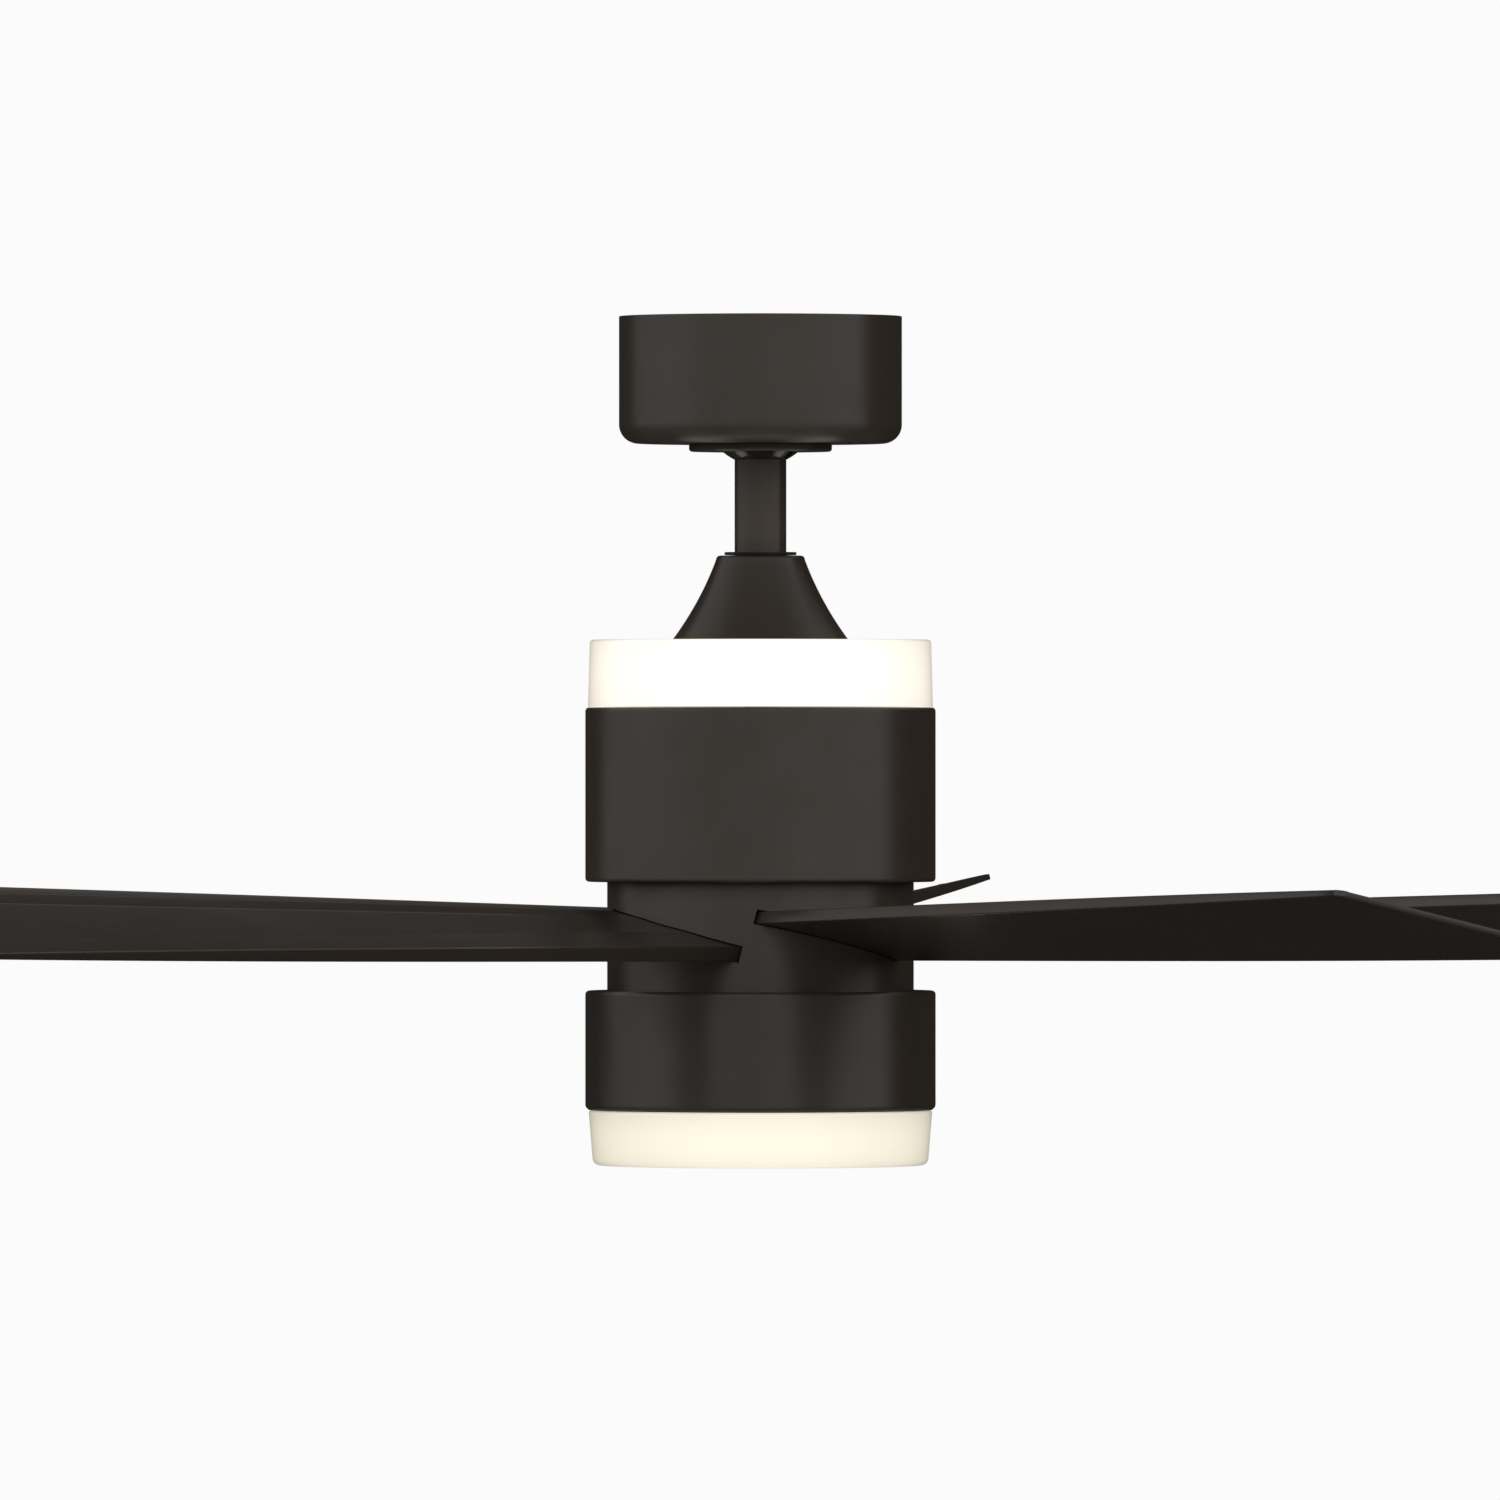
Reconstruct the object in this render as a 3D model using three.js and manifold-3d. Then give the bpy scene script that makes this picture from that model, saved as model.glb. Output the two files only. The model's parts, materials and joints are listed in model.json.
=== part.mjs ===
// Ceiling fan with light: a five-blade, direct-mount fan on a short downrod, with an uplight above
// the motor housing and a downlight below it. Millimetres, +Z up. The origin is the centre of the
// hanger bracket's top face, which lies in the ceiling plane.

import * as THREE from "three";
import { mergeVertices } from "three/addons/utils/BufferGeometryUtils.js";
import { ConvexGeometry } from "three/addons/geometries/ConvexGeometry.js";
import Module from "manifold-3d";

const wasm = await Module();
wasm.setup();

// ---------------------------------------------------------------- driving dimensions

const GAP = 0.3; // clearance between neighbouring pieces

// Ceiling mount
const CANOPY_R = 73;
const CANOPY_BOTTOM = -65.7;
const CANOPY_FILLET = 9.8;
const CANOPY_WALL = 1.2;
const CANOPY_HOLE_R = 28.5;
const TRIM_RING_R = 36.9;
const TRIM_RING_BOTTOM = -69.3;
const BRACKET_LENGTH = 118;
const BRACKET_WIDTH = 79;
const BRACKET_SHEET = 2.5;
const BOX_SCREW_SPACING = 88.9; // standard ceiling outlet box
const CANOPY_SCREW_RADIUS = 33; // distance of the canopy screws from the axis

// Ball joint
const BALL_Z = -47;
const BALL_R = 30.3;
const LINER_IN_R = 30.6;
const LINER_OUT_R = 32.6;
const CRADLE_R = 33.1;

// Downrod and coupling
const ROD_R = 13.35; // 3/4 in pipe
const ROD_BORE_R = 10.9;
const ROD_HOLE_R = 13.65; // holes that the rod passes through
const ROD_TOP = -27.6;
const ROD_BOTTOM = -147;
const BALL_PIN_Z = -33;
const COUPLING_PIN_Z = -136;
const COUPLING_TOP = -127;
const COUPLING_BOTTOM = -198.9;

// Light above the motor
const UPLIGHT_TOP = -166.9;
const UPLIGHT_BOTTOM = -201.5;
const UPLIGHT_TOP_R = 88.2;
const UPLIGHT_BOTTOM_R = 89.4;

// Housings
const HOUSING_R = 90.4;
const HOUSING_WALL = 1.6;
const HOUSING_EDGE = 1.3; // edge rounding
const UPPER_TOP = -201.8;
const UPPER_BOTTOM = -291.8;
const LOWER_TOP = -347.9;
const LOWER_BOTTOM = -409.4;
const DRUM_OPENING_R = 80.6;

// Motor
const SHAFT_R = 9;
const SHAFT_BORE_R = 5.5;
const SHAFT_HOLE_R = 9.3;
const SHAFT_TOP = -155.2;
const SHAFT_BOTTOM = -374;
const BEARING_R = 17.5;
const ROTOR_CAN_R = 66.5;

// Rotating drum and blades
const DRUM_R = 79.1;
const DRUM_WALL = 3;
const DRUM_TOP = -288.5;
const DRUM_BOTTOM = -351;
const HUB_DISC_TOP = -292.4;
const HUB_DISC_BOTTOM = -296;
const BLADE_COUNT = 5;
const BLADE_Z = -319.8; // where the blades' middle planes meet the axis
const BLADE_PITCH = 12; // degrees
const BLADE_CONING = 1.05; // degrees that the blades rise outwards
const FIRST_BLADE = -58.65; // degrees from +X
const TIP_R = 660.4; // 52 in span
const TIP_WIDTH = 150;
const ROOT_WIDTH = 87; // where the blade leaves the drum
const TIP_CORNER = 5;
const SLOT_BELOW = 3.6;
const SLOT_ABOVE = 5.2;
const SLOT_WIDTH = 89.6;

// Light below the motor
const LIGHT_PLATE_TOP = -355;
const LIGHT_PLATE_BOTTOM = -357.5;
const SINK_TOP = -394;
const SINK_BOTTOM = -397;
const LENS_RING_R = 87;
const LENS_RING_BOTTOM = -411.2;
const LENS_TOP = -411.5;
const LENS_TOP_R = 89;
const LENS_LOW_R = 86.7;
const LENS_BOTTOM = -438;
const LENS_CORNER = 3.6;
const NECK_R = 77.6;
const LUG_COUNT = 3;

const WIDE = 30; // sides of the large round pieces outside
const INNER = 22; // sides of the large round pieces inside
const MEDIUM = 16;
const SMALL = 10;
const TINY = 8;

// ---------------------------------------------------------------- helpers

const rad = THREE.MathUtils.degToRad;

/** A closed geometry as a solid that can be joined and cut. */
function solid(geometry) {
  const bare = geometry.clone();
  for (const name of Object.keys(bare.attributes)) {
    if (name !== "position") bare.deleteAttribute(name);
  }
  const merged = mergeVertices(bare, 1e-4);
  return new wasm.Manifold(
    new wasm.Mesh({
      numProp: 3,
      vertProperties: merged.attributes.position.array,
      triVerts: new Uint32Array(merged.index.array),
    }),
  );
}

/** A solid as a geometry again. */
function shape(body) {
  const mesh = body.getMesh();
  const geometry = new THREE.BufferGeometry();
  geometry.setAttribute("position", new THREE.Float32BufferAttribute(mesh.vertProperties, 3));
  geometry.setIndex(new THREE.Uint32BufferAttribute(mesh.triVerts, 1));
  geometry.computeVertexNormals();
  return geometry;
}

function join(first, ...others) {
  return others.reduce((sum, other) => sum.add(other), first);
}

function cut(first, ...others) {
  return others.reduce((rest, other) => rest.subtract(other), first);
}

/** Points of an arc in the (radius, height) plane, both ends included. */
function arc(centreR, centreZ, radius, fromDeg, toDeg, steps) {
  const points = [];
  for (let i = 0; i <= steps; i += 1) {
    const angle = rad(fromDeg + ((toDeg - fromDeg) * i) / steps);
    points.push([centreR + radius * Math.cos(angle), centreZ + radius * Math.sin(angle)]);
  }
  return points;
}

/** Points of a quadratic Bezier curve in the (radius, height) plane. */
function bend(start, control, end, steps) {
  const vectors = [start, control, end].map(([r, z]) => new THREE.Vector2(r, z));
  return new THREE.QuadraticBezierCurve(...vectors).getPoints(steps).map((p) => [p.x, p.y]);
}

/** Solid of revolution about Z. The outline runs anticlockwise in the (radius, height) plane. */
function turned(outline, sides) {
  const points = outline.map(([r, z]) => new THREE.Vector2(r, z));
  const last = points[points.length - 1];
  if (points[0].x > 0 || last.x > 0) points.push(points[0].clone());
  return solid(new THREE.LatheGeometry(points, sides).rotateX(Math.PI / 2));
}

function ring(inner, outer, low, high, sides) {
  return turned([[inner, low], [outer, low], [outer, high], [inner, high]], sides);
}

/** Upright round bar between two heights, at a place in plan. */
function bar(radius, low, high, sides, x = 0, y = 0) {
  const geometry = new THREE.CylinderGeometry(radius, radius, high - low, sides);
  return solid(geometry.rotateX(Math.PI / 2).translate(x, y, (low + high) / 2));
}

/** Round bar along X between two places. */
function crossBar(radius, from, to, z, sides) {
  const geometry = new THREE.CylinderGeometry(radius, radius, to - from, sides);
  return solid(geometry.rotateZ(Math.PI / 2).translate((from + to) / 2, 0, z));
}

/** Box from its lowest to its highest corner. */
function block(low, high) {
  const size = high.map((value, i) => value - low[i]);
  const centre = high.map((value, i) => (value + low[i]) / 2);
  return solid(new THREE.BoxGeometry(...size).translate(...centre));
}

/** Upright plate with rounded corners. */
function roundedPlate(length, width, corner, low, high, x = 0, y = 0) {
  const outline = new THREE.Shape();
  const halfLength = length / 2 - corner;
  const halfWidth = width / 2 - corner;
  outline.absarc(halfLength, halfWidth, corner, 0, Math.PI / 2);
  outline.absarc(-halfLength, halfWidth, corner, Math.PI / 2, Math.PI);
  outline.absarc(-halfLength, -halfWidth, corner, Math.PI, 1.5 * Math.PI);
  outline.absarc(halfLength, -halfWidth, corner, 1.5 * Math.PI, 2 * Math.PI);
  const options = { depth: high - low, bevelEnabled: false, curveSegments: 2 };
  return solid(new THREE.ExtrudeGeometry(outline, options).translate(x, y, low));
}

/** Round wire or lead along a smooth route. */
function wire(route, radius, sides, steps) {
  const section = new THREE.Shape();
  for (let i = 0; i < sides; i += 1) {
    const angle = (2 * Math.PI * i) / sides;
    const place = [radius * Math.cos(angle), radius * Math.sin(angle)];
    if (i === 0) section.moveTo(...place);
    else section.lineTo(...place);
  }
  section.closePath();
  const path = new THREE.CatmullRomCurve3(route.map((p) => new THREE.Vector3(...p)));
  return solid(new THREE.ExtrudeGeometry(section, { steps, extrudePath: path, bevelEnabled: false }));
}

/** The same piece turned about Z to each of a number of equal places. */
function around(count, piece, firstDeg = 0) {
  return Array.from({ length: count }, (_, i) => piece.rotate([0, 0, firstDeg + (360 * i) / count]));
}

// ---------------------------------------------------------------- materials

function finish(color, roughness, metalness) {
  return new THREE.MeshStandardMaterial({ color, roughness, metalness });
}

const bronze = finish(0x3b3733, 0.42, 0.55);
const rodBronze = finish(0x4a4845, 0.35, 0.7);
const bladeBronze = finish(0x35312e, 0.5, 0.2);
const opal = finish(0xfff8e6, 0.35, 0);
const zincSteel = finish(0xa9a9a6, 0.35, 0.9);
const aluminium = finish(0xb9babb, 0.4, 0.9);
const laminations = finish(0x6d6f73, 0.45, 0.85);
const copper = finish(0xb4672f, 0.35, 0.9);
const magnet = finish(0x2c2c30, 0.5, 0.4);
const blackRubber = finish(0x161514, 0.8, 0);
const nylon = finish(0xe8e4d8, 0.5, 0);
const blackPlastic = finish(0x1c1c1d, 0.45, 0);
const boardWhite = finish(0xe9ebe8, 0.4, 0);
const brassScrew = finish(0x3f8a4b, 0.4, 0.6);
const leadGrey = finish(0x8b8d8f, 0.5, 0);
const connectorOrange = finish(0xd9772b, 0.45, 0);

const fan = new THREE.Group();

/** Adds one named piece to the fan or to one of its groups. */
function part(name, body, material, parent = fan) {
  const mesh = new THREE.Mesh(shape(body), material);
  mesh.name = name;
  parent.add(mesh);
}

// ---------------------------------------------------------------- ceiling mount

/** Stamped bracket: ceiling strap, two arms, and the cradle that the ball sits in. */
function hangerBracket() {
  const strap = roundedPlate(BRACKET_LENGTH, BRACKET_WIDTH, 6, -BRACKET_SHEET, 0);
  const armOut = BRACKET_WIDTH / 2;
  const armIn = armOut - BRACKET_SHEET;
  const arms = [1, -1].map((side) =>
    block([-15, Math.min(side * armIn, side * armOut), -60], [15, Math.max(side * armIn, side * armOut), -1]),
  );
  const cradleTop = BALL_Z - 3;
  const cradleLow = CANOPY_BOTTOM + CANOPY_WALL + GAP;
  const topAngle = -THREE.MathUtils.radToDeg(Math.asin((BALL_Z - cradleTop) / CRADLE_R));
  const lowAngle = -THREE.MathUtils.radToDeg(Math.asin((BALL_Z - cradleLow) / CRADLE_R));
  const seat = arc(0, BALL_Z, CRADLE_R, topAngle, lowAngle, 4);
  const cradle = turned([...seat, [38.6, cradleLow], [38.6, cradleTop]], WIDE);
  const screwSlots = [1, -1].map((side) =>
    roundedPlate(12, 5.6, 2.7, -4, 1, (side * BOX_SCREW_SPACING) / 2),
  );
  const wireOpenings = [1, -1].map((side) => roundedPlate(14, 40, 6, -4, 1, side * 28));
  const screwHoles = [1, -1].map((side) => bar(2.05, -70, -58.8, TINY, side * CANOPY_SCREW_RADIUS));
  const groundHole = bar(2.3, -4, 1, TINY, 50, 28);
  return cut(join(strap, ...arms, cradle), ...screwSlots, ...wireOpenings, ...screwHoles, groundHole);
}

/** Drawn cup that hides the bracket, open at the ceiling. */
function canopy() {
  const centreR = CANOPY_R - CANOPY_FILLET;
  const centreZ = CANOPY_BOTTOM + CANOPY_FILLET;
  const shell = turned(
    [
      [CANOPY_HOLE_R, CANOPY_BOTTOM],
      ...arc(centreR, centreZ, CANOPY_FILLET, -90, 0, 3),
      [CANOPY_R, 0],
      [CANOPY_R - CANOPY_WALL, 0],
      ...arc(centreR, centreZ, CANOPY_FILLET - CANOPY_WALL, 0, -90, 3),
      [CANOPY_HOLE_R, CANOPY_BOTTOM + CANOPY_WALL],
    ],
    WIDE,
  );
  const holes = [1, -1].map((side) => bar(2.1, -70, -60, TINY, side * CANOPY_SCREW_RADIUS));
  return cut(shell, ...holes);
}

/** Ring below the canopy with a channel on top that covers the screw heads. */
function canopyTrimRing() {
  const top = CANOPY_BOTTOM - 0.1;
  return turned(
    [
      [22.6, TRIM_RING_BOTTOM],
      ...arc(TRIM_RING_R - 1, TRIM_RING_BOTTOM + 1, 1, -90, 0, 1),
      [TRIM_RING_R, top],
      [TRIM_RING_R - 0.8, top],
      [TRIM_RING_R - 0.8, TRIM_RING_BOTTOM + 0.8],
      [29.6, TRIM_RING_BOTTOM + 0.8],
      [29.6, top],
      [26, top],
    ],
    WIDE,
  );
}

/** Pan-head screw pointing up into the cradle. */
function canopyScrew(side) {
  const x = side * CANOPY_SCREW_RADIUS;
  const headTop = CANOPY_BOTTOM - 0.1;
  const head = bar(2.9, headTop - 2.2, headTop, SMALL, x);
  return join(head, bar(1.75, headTop - 1, -59.3, TINY, x));
}

function groundScrew() {
  const head = bar(4, -5.2, -BRACKET_SHEET - 0.2, SMALL, 50, 28);
  return join(head, bar(2, -4, -0.4, TINY, 50, 28));
}

/** Receiver box between the bracket's arms, with its lead block on one side. */
function remoteReceiver() {
  const box = roundedPlate(34, 66, 3, -17, -3);
  return join(box, block([16, -20, -14], [20, 20, -6]));
}

/** Three leads from the receiver to the connectors, moulded into one plug. */
function receiverLoom() {
  const plug = block([20.3, -19, -13], [25, 19, -7]);
  const leads = [-14, 0, 14].map((y) =>
    wire([[24, y, -10], [34, y, -10.5], [45, y * 1.05, -14], [54.5, y * 1.1, -23.2]], 1.6, 5, 6),
  );
  return join(plug, ...leads);
}

/** Twist-on connector, mouth up, beside the bracket. */
function wireConnector(y) {
  const outer = turned([[0, -44], [3.4, -44], [6, -27], [6, -25], [0, -25]], SMALL);
  return outer.translate([55.5, y * 1.1, 0]);
}

part("hanger_bracket", hangerBracket(), zincSteel);
part("canopy", canopy(), bronze);
part("canopy_trim_ring", canopyTrimRing(), bronze);
part("canopy_screw_1", canopyScrew(1), zincSteel);
part("canopy_screw_2", canopyScrew(-1), zincSteel);
part("ground_screw", groundScrew(), brassScrew);
part("remote_receiver", remoteReceiver(), blackPlastic);
part("receiver_loom", receiverLoom(), leadGrey);
[-14, 0, 14].forEach((y, i) => part(`wire_connector_${i + 1}`, wireConnector(y), connectorOrange));

// ---------------------------------------------------------------- ball joint and downrod

/** Nylon band between the ball and the cradle. Angles are from straight down. */
function ballSeatLiner() {
  const outer = arc(0, BALL_Z, LINER_OUT_R, -20, -2, 3);
  const inner = arc(0, BALL_Z, LINER_IN_R, -2, -20, 3);
  return turned([...outer, ...inner], WIDE);
}

/** Ball with the rod's bore, the slot that the cross pin drops into, and a locating groove. */
function hangerBall() {
  const ballTop = -27;
  const topAngle = THREE.MathUtils.radToDeg(Math.asin((ballTop - BALL_Z) / BALL_R));
  const lowAngle = -THREE.MathUtils.radToDeg(Math.acos(ROD_HOLE_R / BALL_R));
  const outside = arc(0, BALL_Z, BALL_R, lowAngle, topAngle, 9);
  const ball = turned([...outside, [ROD_HOLE_R, ballTop]], WIDE);
  const pinSlot = block([-40, -2.9, BALL_PIN_Z - 2.8], [40, 2.9, ballTop + 5]);
  const groove = block([15, -1.7, -80], [40, 1.7, BALL_Z]).rotate([0, 0, -33]);
  const screwHole = crossBar(2.8, 13, 40, -66, TINY).rotate([0, 0, 90]);
  return cut(ball, pinSlot, groove, screwHole);
}

/** Pipe between the ball and the motor, drilled across for a pin at each end. */
function downrod() {
  const pipe = ring(ROD_BORE_R, ROD_R, ROD_BOTTOM, ROD_TOP, MEDIUM);
  return cut(
    pipe,
    crossBar(2.9, -20, 20, BALL_PIN_Z, SMALL),
    crossBar(3.4, -20, 20, COUPLING_PIN_Z, SMALL),
  );
}

/** Supply and light leads in one sleeve, passing beside both pins and down the hollow shaft. */
function motorLeads() {
  return wire(
    [
      [0, -7, -29], [0, -7, -60], [0, -7, -100], [0, -7, -139.5], [0, -3.2, -150],
      [0, 0, -160], [0, 0, -200], [0, 0, -260], [0, 0, -320], [0, 0, -370],
    ],
    2.9, 6, 26,
  );
}

/** Bell that hides the coupling. */
function couplingCover() {
  return turned(
    [
      [ROD_HOLE_R + 0.4, -125.1],
      [20.6, -125.1],
      ...bend([21.3, -126.8], [29.2, -148.1], [43.2, -166.6], 4),
      ...bend([45.2, -166.6], [31, -147.4], [22.9, -125.5], 4),
      ...arc(20.9, -125.5, 2, 45, 90, 1),
      [ROD_HOLE_R + 0.4, -123.5],
    ],
    INNER,
  );
}

/** Cast socket that takes the rod above and the hollow shaft below. */
function motorCoupling() {
  const body = turned(
    [
      [SHAFT_HOLE_R, COUPLING_BOTTOM], [34, COUPLING_BOTTOM], [34, COUPLING_BOTTOM + 4.1],
      [21, COUPLING_BOTTOM + 4.1], [19, COUPLING_BOTTOM + 8], [19, COUPLING_TOP],
      [ROD_HOLE_R, COUPLING_TOP], [ROD_HOLE_R, SHAFT_TOP + 0.7], [SHAFT_HOLE_R, SHAFT_TOP + 0.7],
    ],
    MEDIUM,
  );
  const screwHoles = crossBar(2.8, -30, 30, -144, TINY).rotate([0, 0, 90]);
  return cut(body, crossBar(3.4, -30, 30, COUPLING_PIN_Z, SMALL), screwHoles);
}

/** Pin with a flat head and a hole across its far end for the clip. */
function couplingPin() {
  const shank = crossBar(3, -21, 23.2, COUPLING_PIN_Z, SMALL);
  const head = crossBar(4.4, -22.9, -20, COUPLING_PIN_Z, SMALL);
  const clipHole = crossBar(1.15, -8, 8, 0, 8).rotate([0, 0, 90]).translate([20.9, 0, COUPLING_PIN_Z]);
  return cut(join(shank, head), clipHole);
}

/** Spring clip through the end of the coupling pin. */
function couplingHairpin() {
  const x = 20.9;
  const z = COUPLING_PIN_Z;
  return wire(
    [
      [x, -5.5, z], [x, 0, z], [x, 5.5, z], [x, 7.8, z + 1.6], [x, 6.6, z + 4.2],
      [x, 2.5, z + 4.4], [x, -2, z + 4.2], [x, -5.5, z + 5],
    ],
    0.8, 5, 18,
  );
}

/** Headless set screw along -Y or +Y. */
function couplingSetScrew(side) {
  return crossBar(2.4, 13.75, 21.5, -144, TINY).rotate([0, 0, side * 90]);
}

part("ball_seat_liner", ballSeatLiner(), nylon);
part("hanger_ball", hangerBall(), rodBronze);
part("ball_cross_pin", crossBar(2.5, -21.5, 21.5, BALL_PIN_Z, SMALL), zincSteel);
part("ball_set_screw", crossBar(2.4, 13.75, 20.5, -66, TINY).rotate([0, 0, 90]), zincSteel);
part("downrod", downrod(), rodBronze);
part("motor_leads", motorLeads(), blackRubber);
part("rod_seal", ring(ROD_HOLE_R, 18.6, -123.2, -121.7, MEDIUM), blackRubber);
part("coupling_cover", couplingCover(), bronze);
part("motor_coupling", motorCoupling(), aluminium);
part("coupling_pin", couplingPin(), zincSteel);
part("coupling_hairpin", couplingHairpin(), zincSteel);
part("coupling_set_screw_1", couplingSetScrew(1), zincSteel);
part("coupling_set_screw_2", couplingSetScrew(-1), zincSteel);

// ---------------------------------------------------------------- light above the motor

/** Opal ring with a closed top, open below. */
function uplightLens() {
  const wall = 2.2;
  return turned(
    [
      [UPLIGHT_BOTTOM_R - wall, UPLIGHT_BOTTOM],
      [UPLIGHT_BOTTOM_R, UPLIGHT_BOTTOM],
      ...arc(UPLIGHT_TOP_R - 1.5, UPLIGHT_TOP - 1.5, 1.5, 0, 90, 1),
      [24, UPLIGHT_TOP],
      [24, UPLIGHT_TOP - wall],
      [UPLIGHT_TOP_R - wall, UPLIGHT_TOP - wall],
    ],
    WIDE,
  );
}

/** Round circuit board with a circle of light chips on one face. */
function lightBoard(inner, outer, low, high, chips, chipR, chipSide) {
  const board = ring(inner, outer, low, high, MEDIUM);
  const face = chipSide > 0 ? high : low;
  const chip = block([chipR - 1.8, -1.8, face - 0.4], [chipR + 1.8, 1.8, face + 0.4]);
  return join(board, ...around(chips, chip.translate([0, 0, 0.3 * chipSide])));
}

part("uplight_lens", uplightLens(), opal);
part("uplight_heat_plate", ring(SHAFT_HOLE_R, 84, -201.4, -199.2, MEDIUM), aluminium);
part("uplight_board", lightBoard(38, 80, -199, -197.6, 12, 64, 1), boardWhite);

// ---------------------------------------------------------------- motor

/** Upper housing: closed top round the shaft, and an inward flange that the drum runs inside. */
function upperHousing() {
  const wallIn = HOUSING_R - HOUSING_WALL;
  const edgeR = HOUSING_R - HOUSING_EDGE;
  return turned(
    [
      [DRUM_OPENING_R, UPPER_BOTTOM],
      ...arc(edgeR, UPPER_BOTTOM + HOUSING_EDGE, HOUSING_EDGE, -90, 0, 1),
      ...arc(edgeR, UPPER_TOP - HOUSING_EDGE, HOUSING_EDGE, 0, 90, 1),
      [SHAFT_HOLE_R, UPPER_TOP],
      [SHAFT_HOLE_R, UPPER_TOP - 2],
      [wallIn, UPPER_TOP - 2],
      [wallIn, UPPER_BOTTOM + HOUSING_WALL],
      [DRUM_OPENING_R, UPPER_BOTTOM + HOUSING_WALL],
    ],
    WIDE,
  );
}

/** Hexagon nut on the shaft. */
function shaftNut(top, bottom) {
  return cut(bar(15, bottom, top, 6), bar(SHAFT_HOLE_R, bottom - 1, top + 1, MEDIUM));
}

/** One half of the turning case round the stator, with a bearing seat. side is 1 above, -1 below. */
function rotorCover(plate, side, split) {
  const outline = [
    [17.8, plate],
    [63.6, plate],
    [63.6, split],
    [ROTOR_CAN_R, split],
    [ROTOR_CAN_R, plate + 2.5 * side],
    [23, plate + 2.5 * side],
    [23, plate + 10 * side],
    [17.8, plate + 10 * side],
  ];
  return turned(side > 0 ? outline : outline.reverse(), INNER);
}

/** Stator stack: a yoke with nine T-shaped teeth. */
function statorCore() {
  const teeth = 9;
  const low = -264;
  const high = -232;
  const yoke = ring(20, 29, low, high, MEDIUM);
  const stem = block([28, -3, low], [51, 3, high]);
  const shoe = cut(ring(49.5, 53, low, high, 27), ...wedgeGaps(teeth));
  return join(yoke, ...around(teeth, stem), shoe);
}

/** Blocks that part neighbouring tooth shoes. */
function wedgeGaps(teeth) {
  return around(teeth, block([45, -1.6, -270], [56, 1.6, -226]), 180 / teeth);
}

/** Copper round all the teeth: a coil bundle above and below, joined through the gaps. */
function statorWinding() {
  const above = ring(31.5, 47.5, -231.5, -226.5, MEDIUM);
  const below = ring(31.5, 47.5, -269.5, -264.5, MEDIUM);
  const strand = block([33, -5.5, -265], [46.5, 5.5, -231]);
  const strands = around(9, strand, 20);
  return join(above, below, ...strands);
}

part("upper_housing", upperHousing(), bronze);
part("housing_lock_nut", shaftNut(-204.1, -211.5), zincSteel);
part("motor_shaft", ring(SHAFT_BORE_R, SHAFT_R, SHAFT_BOTTOM, SHAFT_TOP, MEDIUM), zincSteel);
part("stator_sleeve", ring(SHAFT_HOLE_R, 19.6, -271.2, -224.8, MEDIUM), aluminium);
part("stator_core", statorCore(), laminations);
part("stator_winding", statorWinding(), copper);
part("shaft_spacer", ring(SHAFT_HOLE_R, 12.5, -354.7, -282, MEDIUM), zincSteel);
part("upper_bearing", ring(SHAFT_HOLE_R, BEARING_R, -222, -214, MEDIUM), zincSteel);
part("lower_bearing", ring(SHAFT_HOLE_R, BEARING_R, -281.7, -273.7, MEDIUM), zincSteel);
part("rotor_upper_cover", rotorCover(-224, 1, -247), aluminium);
part("rotor_lower_cover", rotorCover(-272, -1, -247.4), aluminium);
part("magnet_ring", ring(54.2, 63.2, -266, -230, INNER), magnet);

// ---------------------------------------------------------------- drum and blades

/** A group in a blade's own frame: +X out along the blade, +Y across it, +Z off its upper face. */
function bladeFrame(index) {
  const frame = new THREE.Group();
  const azimuth = FIRST_BLADE + (360 / BLADE_COUNT) * index;
  frame.position.z = BLADE_Z;
  frame.rotation.set(-rad(BLADE_PITCH), -rad(BLADE_CONING), rad(azimuth), "ZYX");
  fan.add(frame);
  frame.updateMatrix();
  return frame;
}

const bladeFrames = Array.from({ length: BLADE_COUNT }, (_, i) => bladeFrame(i));

/** A solid given in a blade's frame, moved to the fan's frame. */
function inBladePlace(body, frame) {
  return body.transform(frame.matrix.elements);
}

const TAB_BELOW = -3.25;
const TAB_ABOVE = 3.25;
const STUD_X = 51;
const STUD_Y = 14;

/** Flywheel: a collar under the rotor, a disc, and a sloping seat for each blade's tab. */
function bladeHub() {
  const disc = turned(
    [
      [26, HUB_DISC_BOTTOM], [75.6, HUB_DISC_BOTTOM], [75.6, HUB_DISC_TOP], [33, HUB_DISC_TOP],
      [33, -274.8], [26, -274.8],
    ],
    INNER,
  );
  const below = bar(74, -360, HUB_DISC_TOP - 1, INNER);
  const studHoles = studPlaces().map(([x, y]) => bar(2.7, 0, 11, TINY, x, y));
  const seat = cut(block([40, -23, TAB_ABOVE + GAP], [60, 23, 45]), ...studHoles);
  const seats = bladeFrames.map((frame) => inBladePlace(seat, frame).intersect(below));
  return join(disc, ...seats);
}

function studPlaces() {
  return [[STUD_X, -STUD_Y], [STUD_X, STUD_Y]];
}

/** Slotted drum wall, hung from the hub disc by a lip. */
function bladeDrum() {
  const wallIn = DRUM_R - DRUM_WALL;
  const wall = turned(
    [
      [wallIn, DRUM_BOTTOM], [DRUM_R, DRUM_BOTTOM], [DRUM_R, DRUM_TOP], [68, DRUM_TOP],
      [68, HUB_DISC_TOP + GAP], [wallIn, HUB_DISC_TOP + GAP],
    ],
    WIDE,
  );
  const slot = block([50, -SLOT_WIDTH / 2, -SLOT_BELOW], [90, SLOT_WIDTH / 2, SLOT_ABOVE]);
  return cut(wall, ...bladeFrames.map((frame) => inBladePlace(slot, frame)));
}

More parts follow.
